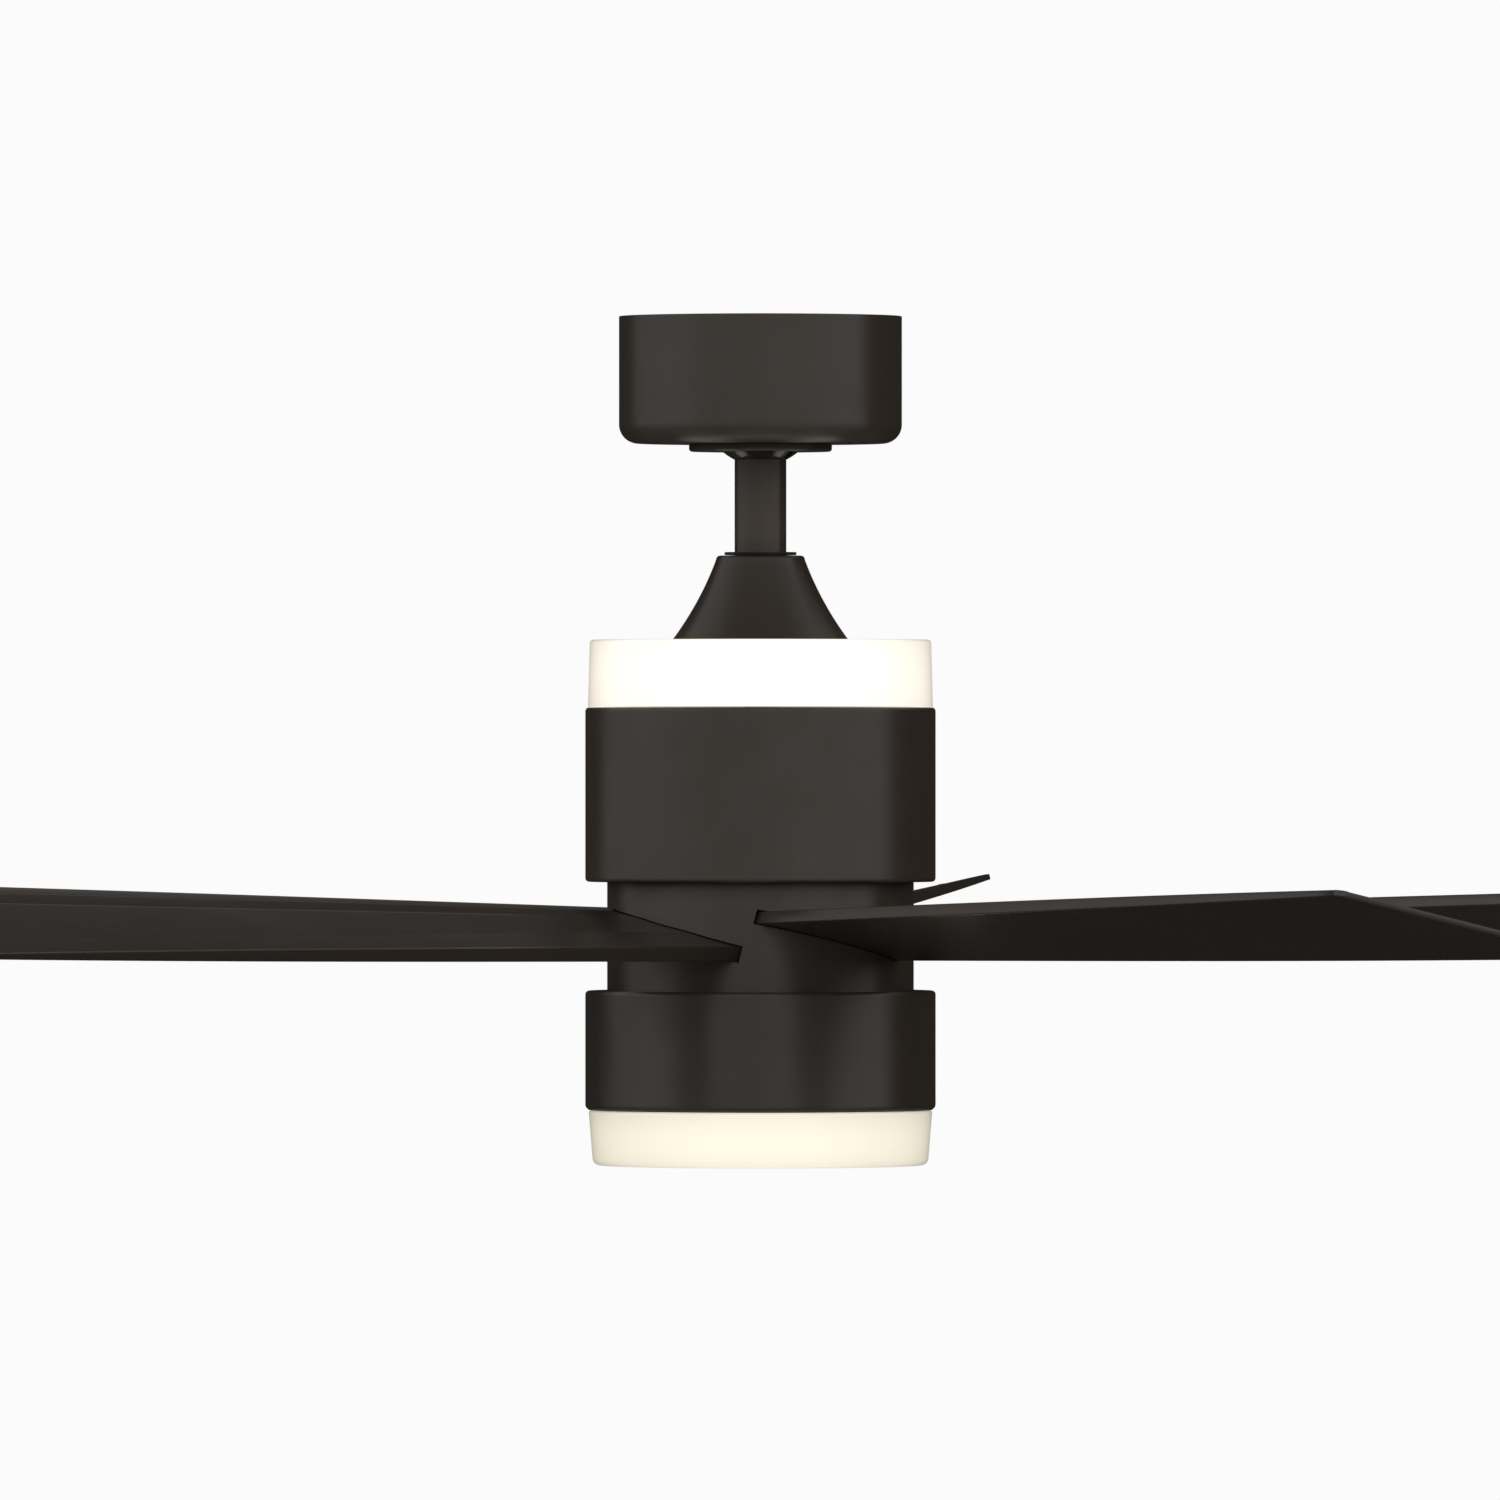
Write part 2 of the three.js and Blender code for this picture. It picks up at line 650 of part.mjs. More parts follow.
/** Half of the blade's width at a distance from the axis. */
function halfWidth(x) {
  return (ROOT_WIDTH + ((TIP_WIDTH - ROOT_WIDTH) * (x - DRUM_R)) / (TIP_R - DRUM_R)) / 2;
}

/** Height of the blade's side edge: nearly level at first, then thinning to the tip. */
function sideHeight(x) {
  const along = (x - DRUM_R) / (TIP_R - DRUM_R);
  return 6.5 - 3.5 * along ** 3;
}

/** Height of the raised middle above the underside, which fades into the sides at the tip. */
function middleHeight(x) {
  const along = (x - DRUM_R) / (TIP_R - DRUM_R);
  return 8.3 - 5.3 * along ** 1.3;
}

/** Tapered blade with a flat underside and a raised middle, and a narrow tab inside the drum. */
function blade() {
  const points = [];
  const rootX = 63;
  const distances = [rootX, 240, 400, 520, 600, TIP_R - TIP_CORNER];
  for (const x of distances) {
    const half = halfWidth(x);
    const under = -sideHeight(x) / 2;
    const side = under + sideHeight(x);
    const middle = under + middleHeight(x);
    points.push([x, -half, under], [x, half, under], [x, -half, side], [x, half, side]);
    points.push([x, -half + 26, middle], [x, half - 29, middle]);
  }
  const tipHalf = halfWidth(TIP_R) - TIP_CORNER;
  for (const turn of [0, 30, 60]) {
    const x = TIP_R - TIP_CORNER + TIP_CORNER * Math.cos(rad(turn));
    const y = tipHalf + TIP_CORNER * Math.sin(rad(turn));
    for (const side of [-1, 1]) points.push([x, side * y, -1.5], [x, side * y, 1.5]);
  }
  const vectors = points.map((p) => new THREE.Vector3(...p));
  const wing = solid(new ConvexGeometry(vectors));
  const tab = block([40.5, -26, TAB_BELOW], [rootX + 5, 26, TAB_ABOVE]);
  const holes = studPlaces().map(([x, y]) => bar(2.7, -20, 20, TINY, x, y));
  return cut(join(wing, tab), ...holes);
}

/** Plate under a blade's tab, with two studs that pass up into the hub. */
function studPlate() {
  const low = TAB_BELOW - GAP - 3;
  const plate = block([43, -21, low], [59, 21, TAB_BELOW - GAP]);
  const studs = studPlaces().map(([x, y]) => bar(2.3, low + 1, 10.3, TINY, x, y));
  return join(plate, ...studs);
}

part("blade_hub", bladeHub(), aluminium);
part("blade_drum", bladeDrum(), bronze);
bladeFrames.forEach((frame, i) => {
  part(`blade_${i + 1}`, blade(), bladeBronze, frame);
  part(`blade_stud_plate_${i + 1}`, studPlate(), zincSteel, frame);
});

// ---------------------------------------------------------------- lower housing and light

/** Lower housing: an inward flange round the drum, and an open bottom. */
function lowerHousing() {
  const wallIn = HOUSING_R - HOUSING_WALL;
  const edgeR = HOUSING_R - HOUSING_EDGE;
  const shell = turned(
    [
      [wallIn, LOWER_BOTTOM],
      ...arc(edgeR, LOWER_BOTTOM + HOUSING_EDGE, HOUSING_EDGE, -60, 0, 1),
      ...arc(edgeR, LOWER_TOP - HOUSING_EDGE, HOUSING_EDGE, 0, 90, 1),
      [DRUM_OPENING_R, LOWER_TOP],
      [DRUM_OPENING_R, LOWER_TOP - HOUSING_WALL],
      [wallIn, LOWER_TOP - HOUSING_WALL],
    ],
    WIDE,
  );
  const boss = cut(bar(3.4, -354.8, LOWER_TOP - 1, TINY, 85), bar(1.5, -356, -350.5, 8, 85));
  return join(shell, ...around(LUG_COUNT, boss, 30));
}

/** Plate across the lower housing that carries the driver, with three cast posts for the heat sink. */
function lightPlate() {
  const plate = ring(SHAFT_HOLE_R, 88, LIGHT_PLATE_BOTTOM, LIGHT_PLATE_TOP, INNER);
  const post = bar(4, SINK_TOP + GAP, LIGHT_PLATE_BOTTOM + 1, TINY, 66);
  return join(plate, ...around(3, post, 60));
}

/** Cast driver box with chamfered ends. */
function ledDriver() {
  return roundedPlate(56, 34, 4, -376, LIGHT_PLATE_BOTTOM - GAP, 46);
}

/** Three-way terminal block: a base with raised screw towers. */
function terminalBlock() {
  const top = LIGHT_PLATE_BOTTOM - GAP;
  const base = block([-50, -13, top - 7], [-30, 13, top]);
  const towers = [-8.5, 0, 8.5].map((y) => block([-45, y - 3, top - 12], [-35, y + 3, top - 6]));
  return join(base, ...towers);
}

/** Finned disc that the light board is fixed to. */
function heatSink() {
  const disc = ring(8, 86, SINK_BOTTOM, SINK_TOP, INNER);
  const fin = block([30, -0.9, SINK_TOP - 1], [82, 0.9, SINK_TOP + 9]);
  return join(disc, ...around(15, fin));
}

/** Ring that the lens twists into, with three lugs and three posts up to the heat sink. */
function lensRing() {
  const top = -403.6;
  const body = turned(
    [
      [80, LENS_RING_BOTTOM], [LENS_RING_R, LENS_RING_BOTTOM], [LENS_RING_R, -406], [88.3, -406],
      [88.3, top], [80, top],
    ],
    WIDE,
  );
  const lug = sector(78.2, 82, LENS_RING_BOTTOM, LENS_RING_BOTTOM + 2.2, 9);
  const post = bar(2.8, top - 1, SINK_BOTTOM - GAP, TINY, 83.2);
  return join(body, ...around(LUG_COUNT, lug, 90), ...around(LUG_COUNT, post, 30));
}

/** Part of a ring that reaches a number of degrees to each side of +X. */
function sector(inner, outer, low, high, halfAngle) {
  const outline = new THREE.Shape();
  outline.absarc(0, 0, outer, -rad(halfAngle), rad(halfAngle), false);
  outline.absarc(0, 0, inner, rad(halfAngle), -rad(halfAngle), true);
  const options = { depth: high - low, bevelEnabled: false, curveSegments: 3 };
  return solid(new THREE.ExtrudeGeometry(outline, options).translate(0, 0, low));
}

/** Opal dish with a neck and three tabs that hook over the ring's lugs. */
function downlightLens() {
  const wall = 2.2;
  const neckTop = -402;
  const cornerR = LENS_LOW_R - LENS_CORNER;
  const cornerZ = LENS_BOTTOM + LENS_CORNER;
  const dish = turned(
    [
      [0, LENS_BOTTOM],
      ...arc(cornerR, cornerZ, LENS_CORNER, -90, 0, 2),
      [LENS_TOP_R, LENS_TOP - 0.8],
      [LENS_TOP_R - 0.8, LENS_TOP],
      [NECK_R, LENS_TOP],
      [NECK_R, neckTop],
      [NECK_R - wall, neckTop],
      [NECK_R - wall, LENS_TOP - wall],
      [LENS_TOP_R - wall, LENS_TOP - wall],
      ...arc(cornerR, cornerZ, LENS_CORNER - wall, 0, -90, 1),
      [0, LENS_BOTTOM + wall],
    ],
    WIDE,
  );
  const tab = sector(NECK_R - 1, 79.3, LENS_RING_BOTTOM + 2.8, LENS_RING_BOTTOM + 5, 7);
  return join(dish, ...around(LUG_COUNT, tab, 90));
}

part("lower_housing", lowerHousing(), bronze);
part("light_plate", lightPlate(), aluminium);
part("shaft_nut", shaftNut(-357.8, -365), zincSteel);
part("led_driver", ledDriver(), blackPlastic);
part("terminal_block", terminalBlock(), nylon);
part("downlight_heat_sink", heatSink(), aluminium);
part("downlight_board", lightBoard(8, 74, -399, -397.4, 12, 56, -1), boardWhite);
part("lens_ring", lensRing(), blackPlastic);
part("downlight_lens", downlightLens(), opal);

export default fan;
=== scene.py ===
"""Looks for the ceiling fan with light: fine meshes, procedural materials, camera and studio."""
import json
import math

import bpy
from mathutils import Matrix, Vector


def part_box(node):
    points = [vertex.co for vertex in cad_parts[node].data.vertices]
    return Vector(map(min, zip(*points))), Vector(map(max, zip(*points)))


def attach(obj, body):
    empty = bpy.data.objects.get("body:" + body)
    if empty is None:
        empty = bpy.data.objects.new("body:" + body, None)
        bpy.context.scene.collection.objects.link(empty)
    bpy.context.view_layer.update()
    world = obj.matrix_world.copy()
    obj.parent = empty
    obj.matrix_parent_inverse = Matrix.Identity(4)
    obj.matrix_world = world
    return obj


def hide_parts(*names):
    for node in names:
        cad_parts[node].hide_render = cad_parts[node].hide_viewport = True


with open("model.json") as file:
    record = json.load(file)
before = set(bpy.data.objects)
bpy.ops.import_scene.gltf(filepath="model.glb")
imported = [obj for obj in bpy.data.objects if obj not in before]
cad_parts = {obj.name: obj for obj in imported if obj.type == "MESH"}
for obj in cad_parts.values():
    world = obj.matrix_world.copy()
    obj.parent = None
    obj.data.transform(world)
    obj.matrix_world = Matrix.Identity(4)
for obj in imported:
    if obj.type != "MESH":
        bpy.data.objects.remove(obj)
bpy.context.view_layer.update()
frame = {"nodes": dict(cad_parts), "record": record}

MM = 0.001

ROUND = 192              # sides of the large turned pieces
FINE = 96                # sides of the small turned pieces
CREASE = math.radians(32)
LONG_RUN = 3 * MM        # a straight run longer than this is braced
BRACE = 0.5 * MM

BALL_Z = -47 * MM        # centre of the ball, and of its two hinges
CONNECTOR_Y = (-14, 0, 14)

# Blades, with their angles in degrees
BLADE_COUNT = 5
BLADE_Z = -319.8 * MM
BLADE_PITCH = 12.2
BLADE_CONING = 0.94      # rise towards the tip
FIRST_BLADE = -58.65     # azimuth of the first one
DRUM_R = 79.1 * MM
TIP_R = 660.4 * MM
ROOT_WIDTH = 87 * MM
TIP_WIDTH = 150 * MM
TIP_CORNER = 5 * MM
FAR_CREASE = 26 * MM     # from the clockwise edge
NEAR_CREASE = 29 * MM    # from the other edge
ROOT_SIDE = 6.5 * MM     # height of the long sides at the root, and what they lose by the tip
SIDE_LOSS = 3.4 * MM
ROOT_MIDDLE = 8.3 * MM   # height of the raised middle at the root, and what it loses by the tip
MIDDLE_LOSS = 5.2 * MM
UNDER_DROP = 1.35 * MM   # extra depth of the low side at the root
BLADE_EDGE = 0.6 * MM    # rounding of every edge
BEAD_HALF = 0.9 * MM
BEAD_STEPS = 4

# Heights at the lower lens
RING_TOP = -403.6 * MM
RING_STEP = -406 * MM
RING_BOTTOM = -409.5 * MM
LENS_RIM = -409.8 * MM
HOOK_BOTTOM = -407.6 * MM
HOOK_TOP = -406.2 * MM

# Camera and studio, in metres
CAMERA_PLACE = (-0.0054, -10.32, -0.2238)
CAMERA_SENSOR = 36
CAMERA_LENS = 480
CLIP_END = 200
FLOOR_Z = -30.0
FLOOR_REACH = 60.0
FLOOR_THICKNESS = 0.02


# ------------------------------------------------------------------ reading the frame

def low(node):
    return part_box(node)[0].z


def high(node):
    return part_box(node)[1].z


def high_x(node):
    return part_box(node)[1].x


def radius(node):
    """A round node's radius. Its outline has a corner on the Y axis, so that extent is the full one."""
    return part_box(node)[1].y


# ------------------------------------------------------------------ mesh helpers

def add_mesh(name, verts, faces, body, stands_for=(), slot=None):
    """A smooth-shaded piece, sharp at its creases, that rides on a body."""
    mesh = bpy.data.meshes.new(name)
    mesh.from_pydata(verts, [], faces)
    mesh.update()
    piece = bpy.data.objects.new(name, mesh)
    bpy.context.scene.collection.objects.link(piece)
    return settle(piece, body, stands_for)


def settle(piece, body, stands_for=()):
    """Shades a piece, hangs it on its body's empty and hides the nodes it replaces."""
    shade(piece)
    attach(piece, body)
    if stands_for:
        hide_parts(*stands_for)
    return piece


def shade(piece):
    mesh = piece.data
    for polygon in mesh.polygons:
        polygon.use_smooth = True
    mesh.set_sharp_from_angle(angle=CREASE)


def arc(r, z, size, start, end, steps=8):
    """Arc in the (radius, height) plane, both ends included, angles in degrees."""
    turns = [math.radians(start + (end - start) * i / steps) for i in range(steps + 1)]
    return [(r + size * math.cos(t), z + size * math.sin(t)) for t in turns]


def bend(start, control, end, steps=28):
    """Quadratic Bezier curve in the (radius, height) plane."""
    points = []
    for i in range(steps + 1):
        t = i / steps
        weights = ((1 - t) ** 2, 2 * t * (1 - t), t * t)
        points.append(tuple(sum(w * p[k] for w, p in zip(weights, (start, control, end))) for k in (0, 1)))
    return points


def turned(outline, sides, ribs=None):
    """Vertices and faces of a closed outline turned about Z. It runs anticlockwise in (radius, height)."""
    verts, faces, rings = [], [], []
    for r, z in outline:
        if r < 1e-7:
            rings.append([len(verts)])
            verts.append((0.0, 0.0, z))
            continue
        rings.append(list(range(len(verts), len(verts) + sides)))
        for k in range(sides):
            angle = 2 * math.pi * k / sides
            reach = r + (ribs(angle, r, z) if ribs else 0.0)
            verts.append((reach * math.cos(angle), reach * math.sin(angle), z))
    for i, here in enumerate(rings):
        there = rings[(i + 1) % len(rings)]
        for k in range(sides):
            after = (k + 1) % sides
            if len(here) > 1 and len(there) > 1:
                faces.append((here[k], here[after], there[after], there[k]))
            elif len(here) > 1:
                faces.append((here[k], here[after], there[0]))
            elif len(there) > 1:
                faces.append((here[0], there[after], there[k]))
    return verts, faces


def braced(outline):
    """Adds points close to both ends of the long straight runs, which keeps their shading flat."""
    points = []
    for here, there in zip(outline, outline[1:] + outline[:1]):
        points.append(here)
        length = math.dist(here, there)
        if length > LONG_RUN:
            start, end = Vector(here), Vector(there)
            points += [tuple(start.lerp(end, BRACE / length)), tuple(end.lerp(start, BRACE / length))]
    return points


def lathe(name, outline, body, stands_for=(), slot=None, sides=ROUND):
    return add_mesh(name, *turned(braced(outline), sides), body, stands_for, slot)


def loose(verts, faces):
    """A helper object that rides on nothing, for cutting."""
    mesh = bpy.data.meshes.new("cutter")
    mesh.from_pydata(verts, [], faces)
    mesh.update()
    tool = bpy.data.objects.new("cutter", mesh)
    bpy.context.scene.collection.objects.link(tool)
    return tool


def rounded(length, width, corner, x=0.0, y=0.0, steps=6):
    """Rectangle with rounded corners, anticlockwise."""
    across, along_y = length / 2 - corner, width / 2 - corner
    corners = (
        (across, along_y, 0), (-across, along_y, 90), (-across, -along_y, 180), (across, -along_y, 270),
    )
    return [
        (x + px, y + py)
        for cx, cy, start in corners
        for px, py in arc(cx, cy, corner, start, start + 90, steps)
    ]


def stack(layers):
    """Closed body through layers of (anticlockwise outline, height), all with the same number of points."""
    count = len(layers[0][0])
    verts = [(x, y, z) for outline, z in layers for x, y in outline]
    faces = [tuple(reversed(range(count))), tuple(range(len(verts) - count, len(verts)))]
    for layer in range(len(layers) - 1):
        base = layer * count
        for k in range(count):
            after = (k + 1) % count
            faces.append((base + k, base + after, base + count + after, base + count + k))
    return verts, faces


def plate(length, width, corner, bottom, top, edge=0.0, x=0.0, y=0.0):
    """Plate with rounded corners, and with both rims eased by a small chamfer if edge is given."""
    full = rounded(length, width, corner, x, y)
    if not edge:
        return stack([(full, bottom), (full, top)])
    eased = rounded(length - 2 * edge, width - 2 * edge, corner - edge, x, y)
    return stack([(eased, bottom), (full, bottom + edge), (full, top - edge), (eased, top)])


def softened(length, width, corner, bottom, top, edge, x=0.0, y=0.0, steps=4):
    """Moulded box with rounded corners and rounded rims."""
    layers = []
    for centre, start in ((bottom + edge, -90), (top - edge, 0)):
        for reach, z in arc(0, centre, edge, start, start + 90, steps):
            inset = edge - reach
            layers.append((rounded(length - 2 * inset, width - 2 * inset, corner - inset, x, y), z))
    return stack(layers)


def tube(path, size, sides=16):
    """Round lead along a path of points, with flat ends."""
    points = [Vector(point) for point in path]
    ways = [(after - before).normalized() for before, after in zip(points, points[1:])]
    ways = [ways[0]] + [(a + b).normalized() for a, b in zip(ways, ways[1:])] + [ways[-1]]
    normal = ways[0].orthogonal().normalized()
    verts, faces = [], []
    for point, way in zip(points, ways):
        normal = (normal - way * normal.dot(way)).normalized()
        other = way.cross(normal)
        for k in range(sides):
            turn = 2 * math.pi * k / sides
            verts.append(tuple(point + normal * size * math.cos(turn) + other * size * math.sin(turn)))
    faces.append(tuple(reversed(range(sides))))
    faces.append(tuple(range(len(verts) - sides, len(verts))))
    for ring in range(len(points) - 1):
        for k in range(sides):
            a, b = ring * sides + k, ring * sides + (k + 1) % sides
            faces.append((a, b, b + sides, a + sides))
    return verts, faces


def smooth_path(points, steps=8):
    """Catmull-Rom curve through the points."""
    knots = [Vector(point) for point in points]
    knots = [2 * knots[0] - knots[1], *knots, 2 * knots[-1] - knots[-2]]
    path = []
    for p0, p1, p2, p3 in zip(knots, knots[1:], knots[2:], knots[3:]):
        for i in range(steps):
            t = i / steps
            path.append((2 * p1 + (p2 - p0) * t + (2 * p0 - 5 * p1 + 4 * p2 - p3) * t ** 2
                         + (3 * p1 - p0 - 3 * p2 + p3) * t ** 3) / 2)
    path.append(knots[-2])
    return path


def box_tool(lowest, highest, matrix=None):
    """A square cutter between two corners, placed by a matrix if one is given."""
    (x0, y0, z0), (x1, y1, z1) = lowest, highest
    verts = [(x, y, z) for z in (z0, z1) for y in (y0, y1) for x in (x0, x1)]
    faces = [(0, 2, 3, 1), (4, 5, 7, 6), (0, 1, 5, 4), (2, 6, 7, 3), (0, 4, 6, 2), (1, 3, 7, 5)]
    tool = loose(verts, faces)
    if matrix is not None:
        tool.data.transform(matrix)
    return tool


def rod_tool(size, start, end, matrix, sides=32):
    """A round cutter along its own Z, placed by a matrix."""
    outline = [(0, start), (size, start), (size, end), (0, end)]
    tool = loose(*turned(outline, sides))
    tool.data.transform(matrix)
    return tool


def combine(piece, tools, operation="DIFFERENCE"):
    """Cuts or joins a piece with each tool and keeps the result as its mesh."""
    for tool in tools:
        change = piece.modifiers.new("boolean", "BOOLEAN")
        change.operation = operation
        change.solver = "EXACT"
        change.object = tool
    depsgraph = bpy.context.evaluated_depsgraph_get()
    mesh = bpy.data.meshes.new_from_object(piece.evaluated_get(depsgraph))
    piece.modifiers.clear()
    old = piece.data
    piece.data = mesh
    mesh.name = piece.name
    bpy.data.meshes.remove(old)
    for tool in tools:
        bpy.data.objects.remove(tool)
    shade(piece)
    return piece


# ------------------------------------------------------------------ materials

def math_node(tree, operation, first, second):
    """Output of a math node on two values, each a number or a socket."""
    node = tree.nodes.new("ShaderNodeMath")
    node.operation = operation
    for socket, value in zip(node.inputs, (first, second)):
        if isinstance(value, (int, float)):
            socket.default_value = value
        else:
            tree.links.new(value, socket)
    return node.outputs[0]


def fill(ramp, stops):
    """Gives a colour ramp its stops of (position, colour)."""
    elements = ramp.color_ramp.elements
    while len(elements) < len(stops):
        elements.new(0.5)
    for element, (position, colour) in zip(elements, stops):
        element.position = position
        element.color = (*colour, 1)


class Nodes:
    """A material's node tree, with the few steps that the materials share."""

    def __init__(self, name):
        self.material = bpy.data.materials.new(name)
        self.material.use_nodes = True
        self.tree = self.material.node_tree
        self.shader = self.tree.nodes["Principled BSDF"]
        coordinates = self.tree.nodes.new("ShaderNodeTexCoord")
        self.place = coordinates.outputs["Object"]
        self.facing = coordinates.outputs["Normal"]

    def set(self, **values):
        for socket, value in values.items():
            self.shader.inputs[socket.replace("_", " ")].default_value = value

    def link(self, source, target):
        self.tree.links.new(source, target)

    def math(self, operation, first, second):
        return math_node(self.tree, operation, first, second)

    def split(self, vector):
        node = self.tree.nodes.new("ShaderNodeSeparateXYZ")
        self.link(vector, node.inputs["Vector"])
        return node.outputs

    def noise(self, scale, detail=3.0, stretch=(1, 1, 1)):
        mapping = self.tree.nodes.new("ShaderNodeMapping")
        mapping.inputs["Scale"].default_value = stretch
        self.link(self.place, mapping.inputs["Vector"])
        texture = self.tree.nodes.new("ShaderNodeTexNoise")
        texture.inputs["Scale"].default_value = scale
        texture.inputs["Detail"].default_value = detail
        self.link(mapping.outputs["Vector"], texture.inputs["Vector"])
        return texture.outputs["Fac"]

    def ramp(self, value, stops):
        ramp = self.tree.nodes.new("ShaderNodeValToRGB")
        fill(ramp, stops)
        self.link(value, ramp.inputs["Fac"])
        return ramp.outputs["Color"]

    def spread(self, value, lowest, highest):
        """Spreads the middle of a noise over a range of values."""
        node = self.tree.nodes.new("ShaderNodeMapRange")
        node.inputs["From Min"].default_value = 0.3
        node.inputs["From Max"].default_value = 0.7
        node.inputs["To Min"].default_value = lowest
        node.inputs["To Max"].default_value = highest
        self.link(value, node.inputs["Value"])
        return node.outputs["Result"]

    def bump(self, value, height):
        node = self.tree.nodes.new("ShaderNodeBump")
        node.inputs["Distance"].default_value = height
        node.inputs["Strength"].default_value = 1.0
        self.link(value, node.inputs["Height"])
        self.link(node.outputs["Normal"], self.shader.inputs["Normal"])


def tinted(colour, factor):
    return tuple(channel * factor for channel in colour)


def finish(name, colour, rough, metallic=0.0, vary=0.12, grain=900, grain_height=0.00002, cloud=60,
           **values):
    """A coated, moulded or cast surface: slight colour drift, uneven gloss and a fine grain.

    `grain` and `cloud` are the fineness of the grain and of the gloss; the rest are shader values.
    """
    nodes = Nodes(name)
    nodes.set(Metallic=metallic, **values)
    drift = nodes.noise(7, 1)
    shades = [(0.3, tinted(colour, 1 - vary)), (0.7, tinted(colour, 1 + vary))]
    nodes.link(nodes.ramp(drift, shades), nodes.shader.inputs["Base Color"])
    gloss = nodes.spread(nodes.noise(cloud, 3), rough * 0.9, rough * 1.1)
    nodes.link(gloss, nodes.shader.inputs["Roughness"])
    nodes.bump(nodes.noise(grain, 2), grain_height)
    return nodes.material


def sleeved(name, plug_end, plug_colour, leads, rough):
    """Insulation whose colour changes from lead to lead across Y, past the end of a plug on the X axis."""
    nodes = Nodes(name)
    x, y, _ = nodes.split(nodes.place)
    first, reach = leads[0][0], -2 * leads[0][0]
    across = nodes.math("MULTIPLY", nodes.math("ADD", y, -first), 1 / reach)
    colours = nodes.ramp(across, [((place - first) / reach, colour) for place, colour in leads])
    nodes.tree.nodes["Color Ramp"].color_ramp.interpolation = "CONSTANT"
    mix = nodes.tree.nodes.new("ShaderNodeMix")
    mix.data_type = "RGBA"
    nodes.link(nodes.math("GREATER_THAN", x, plug_end), mix.inputs["Factor"])
    mix.inputs["A"].default_value = (*plug_colour, 1)
    nodes.link(colours, mix.inputs["B"])
    nodes.link(mix.outputs["Result"], nodes.shader.inputs["Base Color"])
    nodes.link(nodes.spread(nodes.noise(60, 3), rough * 0.9, rough * 1.1), nodes.shader.inputs["Roughness"])
    nodes.bump(nodes.noise(600, 2), 0.00002)
    return nodes.material


def brushed(name, colour, rough, stretch=(1, 1, 14), grain=700, height=0.00002):
    """Turned or drawn bare metal, with grain along its length or around it."""
    nodes = Nodes(name)
    nodes.set(Metallic=1.0)
    streaks = nodes.noise(grain, 2, stretch)
    shades = [(0.3, tinted(colour, 0.86)), (0.7, tinted(colour, 1.08))]
    nodes.link(nodes.ramp(streaks, shades), nodes.shader.inputs["Base Color"])
    gloss = nodes.spread(nodes.noise(40, 4), rough * 0.8, rough * 1.25)
    nodes.link(gloss, nodes.shader.inputs["Roughness"])
    nodes.bump(streaks, height)
    return nodes.material


def opal(name, node, middle_z, reach, colour, strength, rim, top=0.0, under=0.0, spot=0.06):
    """Frosted plastic lit from inside by three lamp strips, one of them in front.

    The glow fades by `spot` between the strips, by `rim` at a height `reach` from the middle, and by
    `top` where the surface faces up. It grows by `under` where the surface faces down.
    """
    nodes = Nodes(name)
    nodes.set(Roughness=0.3, Coat_Weight=1.0, Coat_Roughness=0.22, Coat_IOR=1.5)
    nodes.set(Base_Color=(*tinted(colour, 0.5), 1), Emission_Color=(*colour, 1))
    x, y, z = nodes.split(nodes.place)
    azimuth = nodes.math("ARCTAN2", y, x)
    wave = nodes.math("COSINE", nodes.math("ADD", nodes.math("MULTIPLY", azimuth, 3), -math.pi / 2), 0)
    square = nodes.math("ADD", nodes.math("MULTIPLY", x, x), nodes.math("MULTIPLY", y, y))
    outward = nodes.math("MULTIPLY", square, spot / radius(node) ** 2)
    around = nodes.math("ADD", nodes.math("MULTIPLY", wave, outward), 1)
    offset = nodes.math("MULTIPLY", nodes.math("ADD", z, -middle_z), 1 / reach)
    fade = nodes.math("ADD", nodes.math("MULTIPLY", nodes.math("MULTIPLY", offset, offset), -rim), 1)
    up = nodes.split(nodes.facing)[2]
    upward = nodes.math("MULTIPLY", nodes.math("MAXIMUM", up, 0), -top)
    down = nodes.math("MAXIMUM", nodes.math("MULTIPLY", up, -1), 0)
    downward = nodes.math("MULTIPLY", nodes.math("POWER", down, 4), under)
    tilt = nodes.math("ADD", nodes.math("ADD", upward, downward), 1)
    level = nodes.math("MULTIPLY", nodes.math("MULTIPLY", fade, around), tilt)
    cloud = nodes.spread(nodes.noise(30, 2), strength * 0.985, strength * 1.015)
    nodes.link(nodes.math("MULTIPLY", level, cloud), nodes.shader.inputs["Emission Strength"])
    return nodes.material


BRONZE = (0.0670, 0.0535, 0.0435)
FINE_GRAIN = {"grain": 1400, "grain_height": 0.000008}
FINEST_GRAIN = {"grain": 1400, "grain_height": 0.000006}
TURNED = {"Anisotropic": 0.88, "Anisotropic_Rotation": 0.25}  # a sheen drawn out along the axis
bronze = finish("dark_bronze_coat", tinted(BRONZE, 0.80), 0.37, vary=0.05,
                Specular_IOR_Level=0.70, **FINE_GRAIN, **TURNED)
# Painted shade: the ball's bronze is a much darker, glossier copy of the housing's, standing in for the
# shade under the canopy and rod.
ball_bronze_painted_shade = finish("painted_shade_bronze_ball", tinted(BRONZE, 0.25), 0.17, vary=0.05, **FINEST_GRAIN)
# Painted shade: the bell's bronze is a darker copy of the housing's with a weaker reflection, which keeps
# the bell dark though the upper lens glows just below it.
bell_bronze_painted_shade = finish("painted_shade_bronze_bell", tinted(BRONZE, 0.55), 0.37, vary=0.04,
                     Specular_IOR_Level=0.50, **FINE_GRAIN, **TURNED)
rod_bronze = finish("dark_bronze_rod", tinted(BRONZE, 0.78), 0.37, vary=0.05,
                    Specular_IOR_Level=0.62, **FINEST_GRAIN, **TURNED)
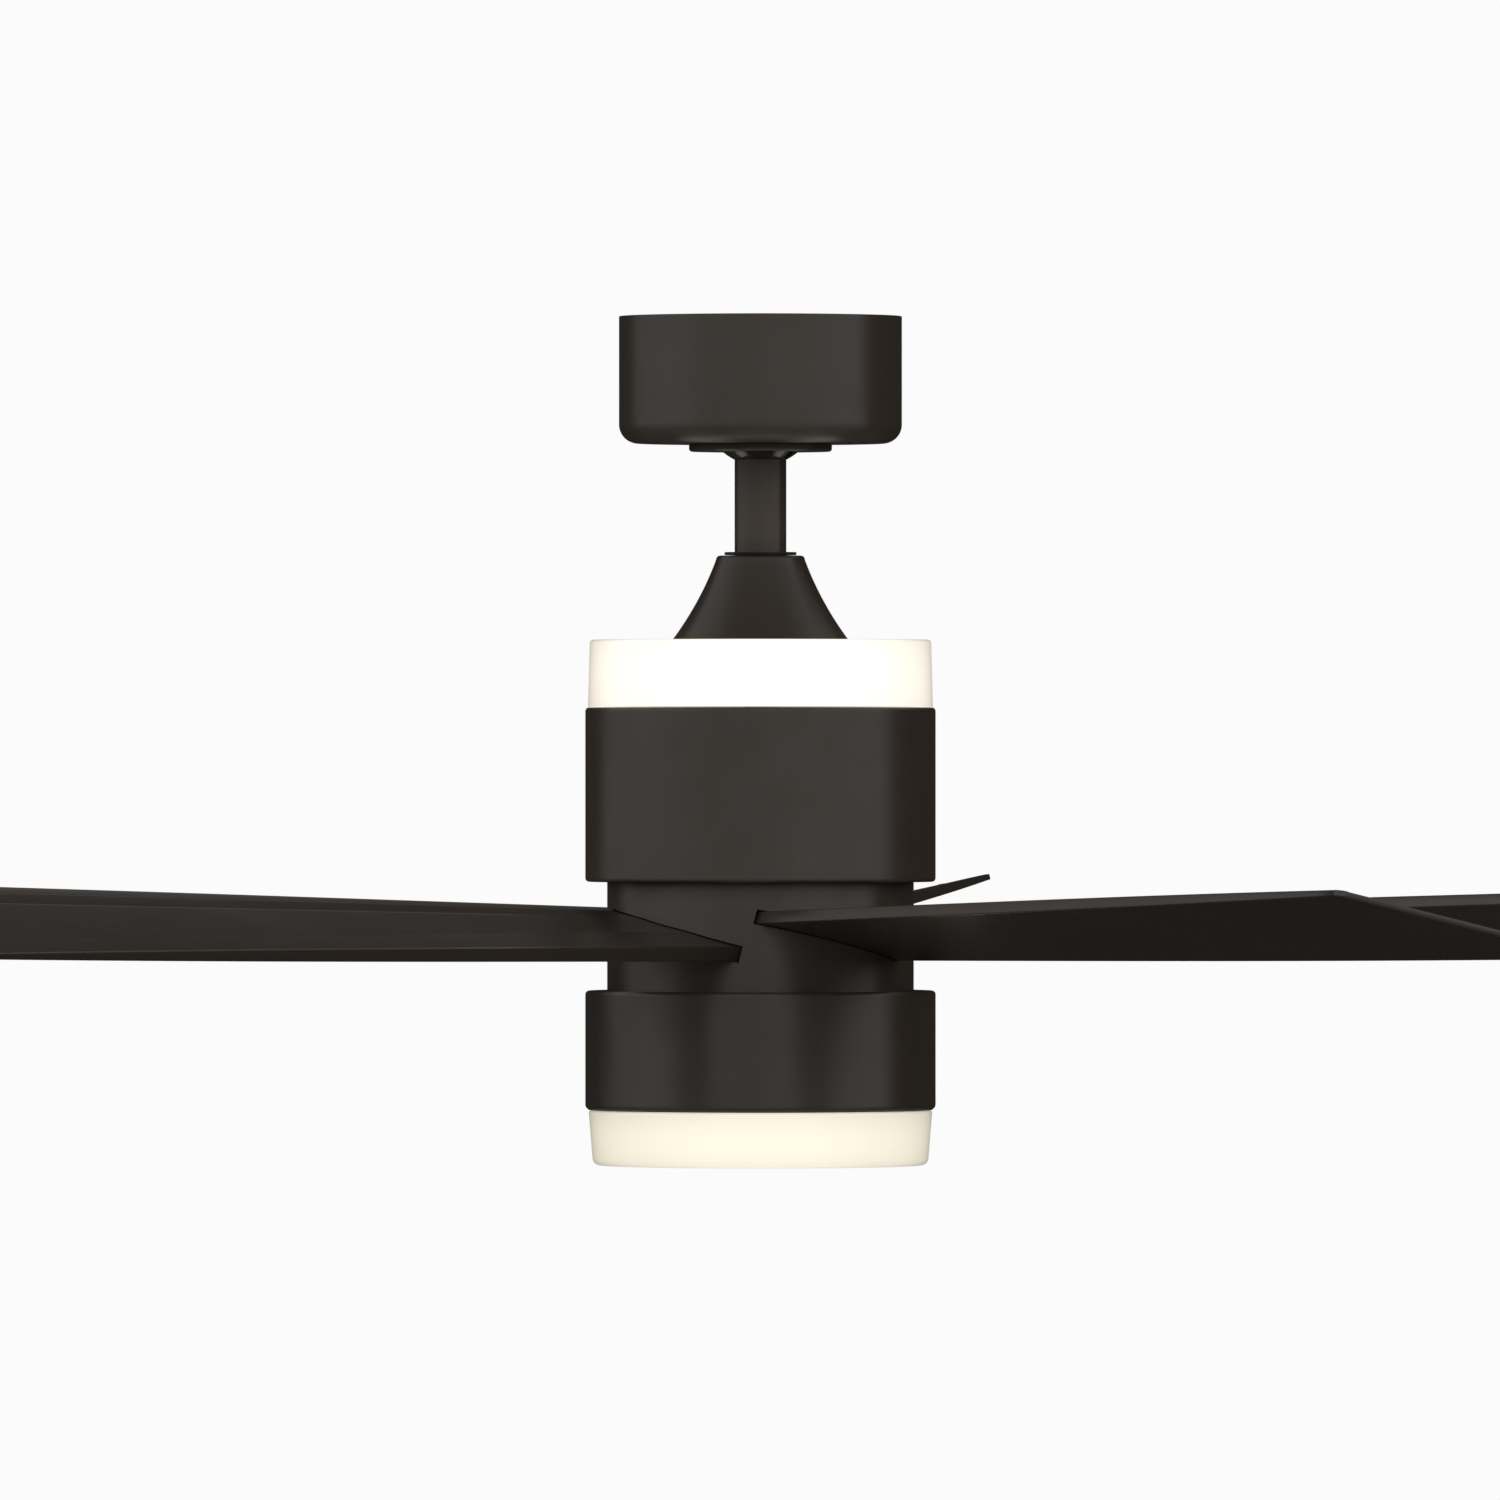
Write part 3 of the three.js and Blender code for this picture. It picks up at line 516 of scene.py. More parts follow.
# Painted shade: the blades get a darker, glossier copy of the housing's bronze, which tones them down to a
# shaded look.
blade_bronze_painted_shade = finish("painted_shade_bronze_blade", tinted(BRONZE, 0.68), 0.27, vary=0.05,
                    grain=120, grain_height=0.0000008, cloud=6)
zinc = brushed("zinc_plate", (0.60, 0.60, 0.58), 0.34)
cast = finish("cast_aluminium", (0.60, 0.61, 0.62), 0.48, metallic=1.0, vary=0.06,
              grain=450, grain_height=0.00006)
steel_stack = brushed("electrical_steel", (0.24, 0.25, 0.27), 0.42, stretch=(1, 1, 60), grain=300)
copper = brushed("enamelled_copper", (0.62, 0.22, 0.08), 0.3, stretch=(1, 1, 30), grain=400)
ferrite = finish("ferrite", (0.03, 0.03, 0.034), 0.5, vary=0.2, grain=700)
rubber = finish("black_rubber", (0.010, 0.009, 0.008), 0.72, vary=0.2, grain=1600, grain_height=0.00003)
nylon = finish("natural_nylon", (0.72, 0.69, 0.60), 0.42, vary=0.05, grain=900)
black_plastic = finish("black_plastic", (0.014, 0.014, 0.015), 0.42, vary=0.2,
                       grain=1300, grain_height=0.00003)
board_white = finish("white_solder_mask", (0.75, 0.77, 0.74), 0.35, vary=0.03, grain=500)
green_coat = finish("green_screw_coat", (0.05, 0.26, 0.07), 0.35, metallic=0.6, vary=0.1)
lead_grey = finish("lead_insulation", (0.26, 0.26, 0.27), 0.5, vary=0.08, grain=600)
LEAD_COLOURS = [
    (-20 * MM, (0.022, 0.022, 0.024)), (-7 * MM, (0.66, 0.66, 0.64)), (7 * MM, (0.03, 0.22, 0.06)),
]
lead_coats = sleeved("lead_insulation_colours", 25.3 * MM, (0.02, 0.02, 0.022), LEAD_COLOURS, 0.4)
cap_orange = finish("orange_cap", (0.68, 0.19, 0.03), 0.4, vary=0.06, grain=900)
uplight_middle = (low("uplight_lens") + high("uplight_lens")) / 2
uplight_opal = opal("uplight_opal", "uplight_lens", uplight_middle, 17 * MM,
                    (1.0, 0.936, 0.82), 1.08, rim=0.08, top=0.12)
downlight_opal = opal("downlight_opal", "downlight_lens", low("downlight_lens") + 13 * MM, 13 * MM,
                      (1.0, 0.94, 0.775), 0.87, rim=0.12, under=0.26)

SLOT_MATERIALS = {
    "bronze_housing": bronze, "bronze_rod": rod_bronze, "bronze_blade": blade_bronze_painted_shade,
    "opal_lens": uplight_opal, "zinc_steel": zinc, "cast_aluminium": cast,
    "laminations": steel_stack, "copper_wire": copper, "magnet": ferrite,
    "black_rubber": rubber, "nylon": nylon, "black_plastic": black_plastic,
    "board_white": board_white, "green_screw": green_coat, "grey_lead": lead_grey,
    "orange_cap": cap_orange,
}


def coat(piece, material):
    piece.data.materials.clear()
    piece.data.materials.append(material)


def coat_frame():
    """Every CAD node that stays gets its slot's material."""
    for entry in frame["record"]["subparts"]:
        node = frame["nodes"][entry["node"]]
        material = SLOT_MATERIALS[entry["material_slot"]]
        for slot in node.material_slots:
            slot.material = material


# ------------------------------------------------------------------ ceiling mount

def make_canopy():
    """Drawn cup with a round lower edge and a hole for the ball."""
    r, bottom, fillet, wall, lip = radius("canopy"), low("canopy"), 9.8 * MM, 1.2 * MM, 0.35 * MM
    hole = 28.5 * MM
    centre = (r - fillet, bottom + fillet)
    outline = [
        (hole, bottom),
        *arc(*centre, fillet, -90, 0, 20),
        *arc(r - lip, -lip, lip, 0, 90, 4),
        *arc(r - wall + lip, -lip, lip, 90, 180, 4),
        *arc(*centre, fillet - wall, 0, -90, 16),
        (hole, bottom + wall),
    ]
    coat(lathe("canopy_shell", outline, "ceiling_mount", ["canopy"], "bronze_housing"), bronze)


def make_trim_ring():
    """Low ring that closes the canopy round the rod."""
    node = "canopy_trim_ring"
    r, bottom, top, edge = radius(node), low(node) - 0.6 * MM, high(node), 1.6 * MM
    outline = [
        *arc(23.0 * MM, bottom + 0.4 * MM, 0.4 * MM, 180, 270, 4),
        *arc(r - edge, bottom + edge, edge, -90, 0, 8),
        *arc(r - 0.3 * MM, top - 0.3 * MM, 0.3 * MM, 0, 90, 3),
        (r - 0.8 * MM, top),
        (r - 0.8 * MM, bottom + 0.8 * MM),
        (29.6 * MM, bottom + 0.8 * MM),
        (29.6 * MM, top),
        (26.0 * MM, top),
    ]
    coat(lathe("canopy_ring_cover", outline, "ceiling_mount", [node], "bronze_housing"), bronze)


TO_X = Matrix(((0, 0, 1, 0), (1, 0, 0, 0), (0, 1, 0, 0), (0, 0, 0, 1)))  # a plan in (x, y) goes to (y, z)


def make_bracket():
    """Pressed strap with bent arms and the cradle that the ball sits in."""
    node = "hanger_bracket"
    length, width, sheet, fold = 2 * high_x(node), 2 * radius(node), 2.5 * MM, 3 * MM
    strap = add_mesh("hanger_bracket_pressing", *plate(length, width, 6 * MM, -sheet, 0, 0.35 * MM),
                     "ceiling_mount", [node], "zinc_steel")
    out, arm_half, relief = width / 2, 15 * MM, 1.5 * MM
    notch = arm_half + relief
    under, over, half_cut = -9 * MM, 9 * MM, 4 * MM
    notches = [
        box_tool((-notch, side * out - half_cut, under), (notch, side * out + half_cut, over))
        for side in (1, -1)
    ]
    openings = [
        loose(*plate(long, wide, corner, under, over, x=side * place))
        for long, wide, corner, place in ((12 * MM, 5.6 * MM, 2.7 * MM, 44.45 * MM),
                                          (14 * MM, 40 * MM, 6 * MM, 28 * MM))
        for side in (1, -1)
    ]
    openings.append(rod_tool(2.3 * MM, under, over, Matrix.Translation((50 * MM, 28 * MM, 0))))
    combine(strap, notches + openings)
    arm = [
        (out - 6 * MM, -sheet),
        *arc(out - fold, -fold, fold - sheet, 90, 0, 4),
        (out - sheet, -60 * MM),
        (out, -60 * MM),
        *arc(out - fold, -fold, fold, 0, 90, 8),
        (out - 6 * MM, 0),
    ]
    arms = []
    for turn in (0, 180):
        tool = loose(*stack([(arm, -arm_half), (arm, arm_half)]))
        tool.data.transform(Matrix.Rotation(math.radians(turn), 4, "Z") @ TO_X)
        arms.append(tool)
    seat, outer = 33.1 * MM, 38.6 * MM
    seat_top, seat_low = -50 * MM, low(node)
    angles = [-math.degrees(math.asin((BALL_Z - z) / seat)) for z in (seat_top, seat_low)]
    cradle_outline = [*arc(0, BALL_Z, seat, *angles, 12), (outer, seat_low), (outer, seat_top)]
    cradle = loose(*turned(cradle_outline, FINE))
    combine(strap, arms + [cradle], "UNION")
    holes = [
        rod_tool(2.05 * MM, -70 * MM, -58.8 * MM, Matrix.Translation((side * 33 * MM, 0, 0)), 24)
        for side in (1, -1)
    ]
    coat(combine(strap, holes), zinc)


def make_receiver():
    """Receiver box with a lid seam and vents, and its lead block."""
    node = "remote_receiver"
    bottom, top = low(node), high(node)
    case = add_mesh("remote_receiver_case", *softened(34 * MM, 66 * MM, 3 * MM, bottom, top, 1.2 * MM),
                    "ceiling_mount", [node], "black_plastic")
    seam_z, depth = top - 4.5 * MM, 0.35 * MM
    ring_plan = rounded(40 * MM, 72 * MM, 4 * MM)
    keep = rounded(34 * MM - 2 * depth, 66 * MM - 2 * depth, 3 * MM - depth)
    seam = combine(loose(*stack([(ring_plan, seam_z), (ring_plan, seam_z + 0.5 * MM)])),
                   [loose(*stack([(keep, seam_z - MM), (keep, seam_z + 2 * MM)]))])
    vents = [
        loose(*plate(18 * MM, 1.4 * MM, 0.6 * MM, top - 0.6 * MM, top + 1 * MM, y=y * MM))
        for y in range(-26, -10, 4)
    ]
    combine(case, [seam, *vents])
    block = loose(*softened(4.4 * MM, 40 * MM, 0.9 * MM, -14 * MM, -6 * MM, 0.5 * MM, x=17.8 * MM))
    coat(combine(case, [block], "UNION"), black_plastic)


def make_loom():
    """Three leads from the receiver's plug to the connectors."""
    node = "receiver_loom"
    plug = softened(4.7 * MM, 38 * MM, 0.9 * MM, -13 * MM, -7 * MM, 0.5 * MM, x=22.65 * MM)
    loom = add_mesh("receiver_loom_leads", *plug, "ceiling_mount", [node], "grey_lead")
    leads = []
    for y in CONNECTOR_Y:
        route = [(24, y, -10), (34, y, -10.5), (45, y * 1.05, -14), (54.5, y * 1.1, -23.2)]
        route = [tuple(value * MM for value in point) for point in route]
        leads.append(loose(*tube(smooth_path(route, 10), 1.6 * MM)))
    coat(combine(loom, leads, "UNION"), lead_coats)


def make_connectors():
    """Twist-on connectors with fluted sides."""
    flutes = 12
    for index, y in enumerate(CONNECTOR_Y, 1):
        node = f"wire_connector_{index}"
        bottom, top = low(node), high(node)
        grip_top = -30 * MM

        def ribs(angle, r, z):
            deep = 0.35 * MM if bottom + 2 * MM < z < grip_top and r > 3 * MM else 0
            return -deep * (0.5 + 0.5 * math.cos(flutes * angle))

        outline = [
            (0, bottom),
            *arc(2.5 * MM, bottom + 0.9 * MM, 0.9 * MM, -90, 0, 4),
            (3.62 * MM, bottom + 2.2 * MM),
            (5.45 * MM, grip_top - 0.2 * MM),
            (5.55 * MM, grip_top),
            (6.0 * MM, -27 * MM),
            *arc(5.7 * MM, top - 0.3 * MM, 0.3 * MM, 0, 90, 3),
            (4.0 * MM, top),
            (3.7 * MM, top - 1.2 * MM),
            (0, top - 1.2 * MM),
        ]
        verts, faces = turned(outline, 144, ribs)
        verts = [(vx + 55.5 * MM, vy + y * 1.1 * MM, vz) for vx, vy, vz in verts]
        coat(add_mesh(f"{node}_fluted", verts, faces, "ceiling_mount", [node], "orange_cap"), cap_orange)


def make_ground_screw():
    """Round-headed screw with a slot, head down."""
    node = "ground_screw"
    bottom, top, head = low(node), high(node), 4 * MM
    face = -2.7 * MM
    outline = [
        (0, bottom),
        *arc(head - 1.1 * MM, bottom + 1.1 * MM, 1.1 * MM, -90, 0, 6),
        (head, face),
        (2 * MM, face),
        (2 * MM, top - 0.4 * MM),
        (1.6 * MM, top),
        (0, top),
    ]
    verts, faces = turned(outline, 48)
    place = Matrix.Translation((50 * MM, 28 * MM, 0))
    verts = [place @ Vector(vertex) for vertex in verts]
    screw = add_mesh("ground_screw_slotted", verts, faces, "ceiling_mount", [node], "green_screw")
    slot = box_tool((-6 * MM, -0.6 * MM, bottom - 1 * MM), (6 * MM, 0.6 * MM, bottom + 1.1 * MM),
                    place @ Matrix.Rotation(math.radians(35), 4, "Z"))
    coat(combine(screw, [slot]), green_coat)


def make_liner():
    """Nylon band that the ball turns in."""
    node = "ball_seat_liner"
    outer = arc(0, BALL_Z, 32.6 * MM, -20, -2, 12)
    inner = arc(0, BALL_Z, 30.6 * MM, -2, -20, 12)
    coat(lathe("ball_liner_band", outer + inner, "ball_liner", [node], "nylon", FINE), nylon)


def make_cross_pin():
    """Pin across the ball's slot, with rounded ends."""
    node = "ball_cross_pin"
    size, reach, edge = 2.5 * MM, high_x(node), 0.6 * MM
    outline = [
        (0, -reach),
        *arc(size - edge, -reach + edge, edge, -90, 0, 4),
        *arc(size - edge, reach - edge, edge, 0, 90, 4),
        (0, reach),
    ]
    verts, faces = turned(braced(outline), 32)
    place = Matrix.Translation((0, 0, (low(node) + high(node)) / 2)) @ across_x()
    verts = [place @ Vector(vertex) for vertex in verts]
    coat(add_mesh("ball_cross_pin_turned", verts, faces, "hanging", [node], "zinc_steel"), zinc)


# ------------------------------------------------------------------ ball and rod

def make_ball():
    """Ball with a bore for the rod, a slot for its pin, a locating groove and a set screw's hole."""
    node = "hanger_ball"
    r, bore = radius(node), 13.65 * MM
    top = high(node)
    top_angle = math.degrees(math.asin((top - BALL_Z) / r))
    low_angle = -math.degrees(math.acos(bore / r))
    outline = [*arc(0, BALL_Z, r, low_angle, top_angle, 48), (bore, top)]
    ball = lathe("hanger_ball_turned", outline, "hanging", [node], "bronze_rod", FINE)
    pin_slot = box_tool((-40 * MM, -2.9 * MM, -35.8 * MM), (40 * MM, 2.9 * MM, 0))
    groove_turn = Matrix.Rotation(math.radians(-33), 4, "Z")
    groove = box_tool((15 * MM, -1.7 * MM, -80 * MM), (40 * MM, 1.7 * MM, BALL_Z), groove_turn)
    screw_hole = rod_tool(2.8 * MM, 13 * MM, 40 * MM, Matrix.Translation((0, 0, -66 * MM)) @ across_y())
    coat(combine(ball, [pin_slot, groove, screw_hole]), ball_bronze_painted_shade)


def across_y():
    """Turns Z to +Y."""
    return Matrix.Rotation(math.radians(-90), 4, "X")


def across_x():
    """Turns Z to +X."""
    return Matrix.Rotation(math.radians(90), 4, "Y")


def make_rod():
    """Pipe with a cross hole near each end."""
    node = "downrod"
    r, bore, edge = 13.35 * MM, 10.9 * MM, 0.4 * MM
    bottom, top = low(node), high(node)
    outline = [
        (bore, bottom),
        *arc(r - edge, bottom + edge, edge, -90, 0, 3),
        *arc(r - edge, top - edge, edge, 0, 90, 3),
        (bore, top),
    ]
    rod = lathe("downrod_pipe", outline, "hanging", [node], "bronze_rod", FINE)
    holes = [
        rod_tool(size * MM, -20 * MM, 20 * MM, Matrix.Translation((0, 0, z * MM)) @ across_x())
        for size, z in ((2.9, -33), (3.4, -136))
    ]
    coat(combine(rod, holes), rod_bronze)


def make_seal():
    """Washer round the rod, on top of the bell."""
    node = "rod_seal"
    r, bottom, top, edge = radius(node), low(node), high(node), 0.4 * MM
    outline = [
        (13.65 * MM, bottom),
        *arc(r - edge, bottom + edge, edge, -90, 0, 4),
        *arc(r - edge, top - edge, edge, 0, 90, 4),
        (13.65 * MM, top),
    ]
    coat(lathe("rod_seal_washer", outline, "hanging", [node], "black_rubber", FINE), rubber)


def make_bell():
    """Bell that flares down to the upper light, with a hollow of the same flare."""
    node = "coupling_cover"
    bottom, top, hole = low(node), high(node), 14.05 * MM
    foot, shoulder, edge = radius(node), 22.9 * MM, 2 * MM
    outline = [
        (hole, top - 1.6 * MM),
        (20.6 * MM, top - 1.6 * MM),
        *bend((21.3 * MM, top - 3.3 * MM), (29.2 * MM, -148.1 * MM), (foot - 2 * MM, bottom)),
        *bend((foot, bottom), (31 * MM, -147.4 * MM), (shoulder, top - 2 * MM)),
        *arc(shoulder - edge, top - edge, edge, 20, 90, 8),
        (hole, top),
    ]
    coat(lathe("coupling_bell", outline, "hanging", [node], "bronze_housing"), bell_bronze_painted_shade)


# ------------------------------------------------------------------ lights and housings

def make_uplight():
    """Flat opal cover with a short, slightly narrowing wall."""
    node = "uplight_lens"
    bottom, top, foot, wall, edge = low(node), high(node), radius(node) - 0.4 * MM, 2.2 * MM, 1.8 * MM
    head = foot - 0.9 * MM
    outline = [
        (foot - wall, bottom),
        (foot, bottom),
        *arc(head - edge, top - edge, edge, 0, 90, 8),
        (24 * MM, top),
        (24 * MM, top - wall),
        (head - wall, top - wall),
    ]
    coat(lathe("uplight_opal_ring", outline, "hanging", [node], "opal_lens"), uplight_opal)


def housing_outline(r, bottom, top, opening, closed_top):
    """Rolled shell with rounded edges. It has a closed top round the shaft, or an inward flange."""
    wall, edge, foot = 1.6 * MM, 2.0 * MM, 2.8 * MM
    inner_top = 9.3 * MM if closed_top else opening
    if closed_top:
        outline = [(opening, bottom), *arc(r - edge, bottom + edge, edge, -90, 0, 8)]
    else:
        outline = [(r - wall, bottom), *arc(r - foot, bottom + foot, foot, -62, 0, 8)]
    outline += arc(r - edge, top - edge, edge, 0, 90, 8)
    outline += [(inner_top, top), (inner_top, top - 1.6 * MM), (r - wall, top - 1.6 * MM)]
    if closed_top:
        outline += [(r - wall, bottom + wall), (opening, bottom + wall)]
    return outline


def make_housings():
    """The upper housing round the motor and the lower one round the lower light."""
    opening = 80.6 * MM
    for node, name, closed_top in (("upper_housing", "upper_housing_shell", True),
                                   ("lower_housing", "lower_housing_shell", False)):
        outline = housing_outline(radius(node), low(node), high(node), opening, closed_top)
        piece = lathe(name, outline, "hanging", [node], "bronze_housing", 256)
        coat(piece, bronze)


def make_lens_ring():
    """Ring with three lugs that hold the lower lens, and three posts above it."""
    node = "lens_ring"
    inner, foot, outer = 80 * MM, 87 * MM, 88.3 * MM
    outline = [
        (inner, RING_BOTTOM), (foot, RING_BOTTOM), (foot, RING_STEP), (outer, RING_STEP),
        (outer, RING_TOP), (inner, RING_TOP),
    ]
    ring = lathe("lens_ring_moulding", outline, "hanging", [node], "black_plastic")
    tools = []
    for place in range(3):
        turn = Matrix.Rotation(math.radians(90 + 120 * place), 4, "Z")
        tools.append(sector_tool(78.2 * MM, 82 * MM, RING_BOTTOM, RING_BOTTOM + 1.5 * MM, 9, turn))
        post_turn = Matrix.Rotation(math.radians(30 + 120 * place), 4, "Z")
        post = post_turn @ Matrix.Translation((83.2 * MM, 0, 0))
        tools.append(rod_tool(2.8 * MM, RING_TOP - 1 * MM, high(node), post, 24))
    coat(combine(ring, tools, "UNION"), black_plastic)


def sector_tool(inner, outer, bottom, top, half_angle, matrix, steps=8):
    """Part of a ring, half_angle degrees to each side of its middle."""
    turns = [math.radians(half_angle * (2 * i / steps - 1)) for i in range(steps + 1)]
    plan = [(outer * math.cos(t), outer * math.sin(t)) for t in turns]
    plan += [(inner * math.cos(t), inner * math.sin(t)) for t in reversed(turns)]
    tool = loose(*stack([(plan, bottom), (plan, top)]))
    tool.data.transform(matrix)
    return tool


def make_downlight():
    """Shallow dish with a neck and three hooks that rest on the ring's lugs."""
    node = "downlight_lens"
    bottom, top, wall, neck = low(node), LENS_RIM, 2.2 * MM, 77.6 * MM
    top_r, low_r, corner, shoulder = radius(node) - 0.4 * MM, 86.7 * MM, 3.8 * MM, 1.1 * MM
    outline = [
        (0, bottom),
        (40 * MM, bottom),
        *arc(low_r - corner, bottom + corner, corner, -90, 3, 14),
        *arc(top_r - shoulder, top - shoulder, shoulder, 0, 90, 6),
        (neck, top),
        (neck, high(node)),
        (neck - wall, high(node)),
        (neck - wall, top - wall),
        (top_r - wall, top - wall),
        *arc(low_r - corner, bottom + corner, corner - wall, 0, -90, 8),
        (0, bottom + wall),
    ]
    dish = lathe("downlight_opal_dish", outline, "lens", [node], "opal_lens", 256)
    hooks = [
        sector_tool(neck - 1 * MM, 79.3 * MM, HOOK_BOTTOM, HOOK_TOP, 7,
                    Matrix.Rotation(math.radians(90 + 120 * place), 4, "Z"))
        for place in range(3)
    ]
    coat(combine(dish, hooks, "UNION"), downlight_opal)


# ------------------------------------------------------------------ drum and blades

def blade_matrix(index):
    azimuth = math.radians(FIRST_BLADE + 360 / BLADE_COUNT * index)
    turn = Matrix.Rotation(azimuth, 4, "Z")
    rise = Matrix.Rotation(-math.radians(BLADE_CONING), 4, "Y")
    pitch = Matrix.Rotation(-math.radians(BLADE_PITCH), 4, "X")
    return Matrix.Translation((0, 0, BLADE_Z)) @ turn @ rise @ pitch


def make_drum():
    """Wall with a slot for each blade, closed at the top by a flange."""
    node = "blade_drum"
    bottom, top, wall, edge = low(node), high(node), 3 * MM, 0.6 * MM
    flange_bottom = -292.1 * MM
    outline = [
        *arc(DRUM_R - wall + edge, bottom + edge, edge, 180, 270, 3),
        *arc(DRUM_R - edge, bottom + edge, edge, -90, 0, 3),
        *arc(DRUM_R - edge, top - edge, edge, 0, 90, 3),
        (68 * MM, top),
        (68 * MM, flange_bottom),
        (DRUM_R - wall, flange_bottom),
    ]
    drum = lathe("blade_drum_wall", outline, "rotor", [node], "bronze_housing", 256)
    coat(combine(drum, [slot_tool(blade_matrix(i)) for i in range(BLADE_COUNT)]), bronze)


def slot_tool(matrix):
    """Opening a little larger than the section of a blade's root, along the blade's X."""
    section = [(-44.5, -3.6), (44.5, -4.9), (44.5, 3.9), (17, 5.5), (-17, 5.5), (-44.5, 3.9)]
    section = [(y * MM, z * MM) for y, z in section]
    tool = loose(*stack([(section, 50 * MM), (section, 90 * MM)]))
    tool.data.transform(matrix @ TO_X)
    return tool


def along(x):
    """0 at the drum's surface, 1 at the tip."""
    return (x - DRUM_R) / (TIP_R - DRUM_R)


def half_width(x):
    return (ROOT_WIDTH + (TIP_WIDTH - ROOT_WIDTH) * along(x)) / 2


def side_height(x):
    return ROOT_SIDE - SIDE_LOSS * max(along(x), 0) ** 3


def middle_height(x):
    return ROOT_MIDDLE - MIDDLE_LOSS * max(along(x), 0) ** 1.3


def blade_top(x, y, half):
    """Height of the upper side at y: flat middle, sloping edges, and a bead along each crease and edge."""
    side, middle = side_height(x), middle_height(x)
    crease = FAR_CREASE if y < 0 else NEAR_CREASE
    inward = min((half - abs(y)) / min(crease, half * 0.6), 1)
    fade = min(max((x - DRUM_R - 4 * MM) / (20 * MM), 0), 1)
    height = side / 2 + (middle - side) * inward
    for place, bead in beads(half):
        across = abs(y - place) / BEAD_HALF
        if across < 1:
            height += bead * fade * math.cos(across * math.pi / 2) ** 2
    return height


def beads(half):
    """Place across the blade and height of each bead."""
    return [
        (-half + 1.9 * MM, 0.16 * MM),
        (-half + min(FAR_CREASE, half * 0.6), 0.18 * MM),
        (half - min(NEAR_CREASE, half * 0.6), 0.06 * MM),
        (half - 1.9 * MM, 0.10 * MM),
    ]


def blade_section(x, half, inset):
    """Closed section of the blade at a distance x, anticlockwise seen from the tip."""
    tall = side_height(x)
    under = -tall / 2 + inset
    low_under = under - UNDER_DROP * (1 - max(along(x), 0))
    side = tall / 2 - inset
    edge = min(BLADE_EDGE, (side - under) * 0.45)
    points = arc(-half + edge, under + edge, edge, 180, 270, 4)
    points += [(-half + 2 * edge, under), (half - 2 * edge, low_under)]
    points += arc(half - edge, low_under + edge, edge, 270, 360, 4)
    points += arc(half - edge, side - edge, edge, 0, 90, 4)[:-1]
    for place, _ in reversed(beads(half)):
        for step in range(BEAD_STEPS, -BEAD_STEPS - 1, -1):
            y = place + BEAD_HALF * step / BEAD_STEPS
            points.append((y, blade_top(x, y, half) - inset))
    points += arc(-half + edge, side - edge, edge, 90, 180, 4)[1:]
    return [(x, y, z) for y, z in points]


def blade_stations():
    """Distance, half width and edge inset of each section, from the tab to the tip."""
    tab_in, root, tab_half = 40.5 * MM, 63 * MM, 26 * MM
    stations = [(tab_in, tab_half, 0), (root, tab_half, 0)]
    count = 36
    straight = TIP_R - TIP_CORNER
    for i in range(count + 1):
        x = root + (straight - root) * i / count
        stations.append((x, half_width(x), 0))
    tip_half = half_width(TIP_R) - TIP_CORNER
    corner_steps = 12
    for step in range(1, corner_steps + 1):
        turn = math.radians(90 * step / corner_steps)
        x = straight + TIP_CORNER * math.sin(turn)
        into = max(0.0, x - (TIP_R - BLADE_EDGE))
        inset = BLADE_EDGE - math.sqrt(max(0.0, BLADE_EDGE ** 2 - into ** 2))
        stations.append((x, tip_half + TIP_CORNER * math.cos(turn), inset))
    return stations


def make_blades():
    sections = [blade_section(*station) for station in blade_stations()]
    size = len(sections[0])
    verts = [point for section in sections for point in section]
    faces = [tuple(reversed(range(size))), tuple(range(len(verts) - size, len(verts)))]
    for s in range(len(sections) - 1):
        for k in range(size):
            a, b = s * size + k, s * size + (k + 1) % size
            faces.append((a, b, b + size, a + size))
    for index in range(BLADE_COUNT):
        matrix = blade_matrix(index)
        placed = [matrix @ Vector(point) for point in verts]
        name = f"blade_{index + 1}"
        blade = add_mesh(f"{name}_wing", placed, faces, "rotor", [name], "bronze_blade")
        holes = [
            rod_tool(2.7 * MM, -20 * MM, 20 * MM, matrix @ Matrix.Translation((51 * MM, y * MM, 0)))
            for y in (-14, 14)
        ]
        coat(combine(blade, holes), blade_bronze_painted_shade)


# ------------------------------------------------------------------ camera and studio

# Level of the side panels by azimuth, in degrees from the camera's side, positive to its right
PANELS = [(-180, 0), (-138, 0), (-114, 0.62), (-76, 0.96), (-66, 0.96), (-54, 0.86), (0, 0.86), (10, 1.0),
          (88, 1.0), (103, 0), (180, 0)]
# Their level by the direction's height
PANEL_HEIGHT = [(-1, 0.20), (-0.60, 0.17), (-0.28, 0.11), (-0.06, 0.09), (0.13, 1.25), (0.40, 1.22),
                (0.60, 0.58), (0.76, 0.03), (1, 0.03)]
# The light from high behind
REAR = [(-180, 1), (-90, 1), (-48, 0), (52, 0), (84, 1), (180, 1)]
REAR_HEIGHT = [(-1, 0.16), (-0.60, 0.08), (-0.35, 0.02), (0.42, 0.02), (0.56, 0.42), (0.74, 0.42),
               (0.88, 0.26), (1, 0.26)]
PANEL_COLOUR = (1, 0.965, 0.93)
BACKDROP = 0.965


def make_camera():
    """Level view from far off, with the fan's axis a little right of the middle."""
    data = bpy.data.cameras.new("camera")
    data.sensor_width = CAMERA_SENSOR
    data.lens = CAMERA_LENS
    data.clip_end = CLIP_END
    camera = bpy.data.objects.new("camera", data)
    camera.location = CAMERA_PLACE
    camera.rotation_euler = (math.radians(90), 0, 0)
    bpy.context.scene.collection.objects.link(camera)
    bpy.context.scene.camera = camera


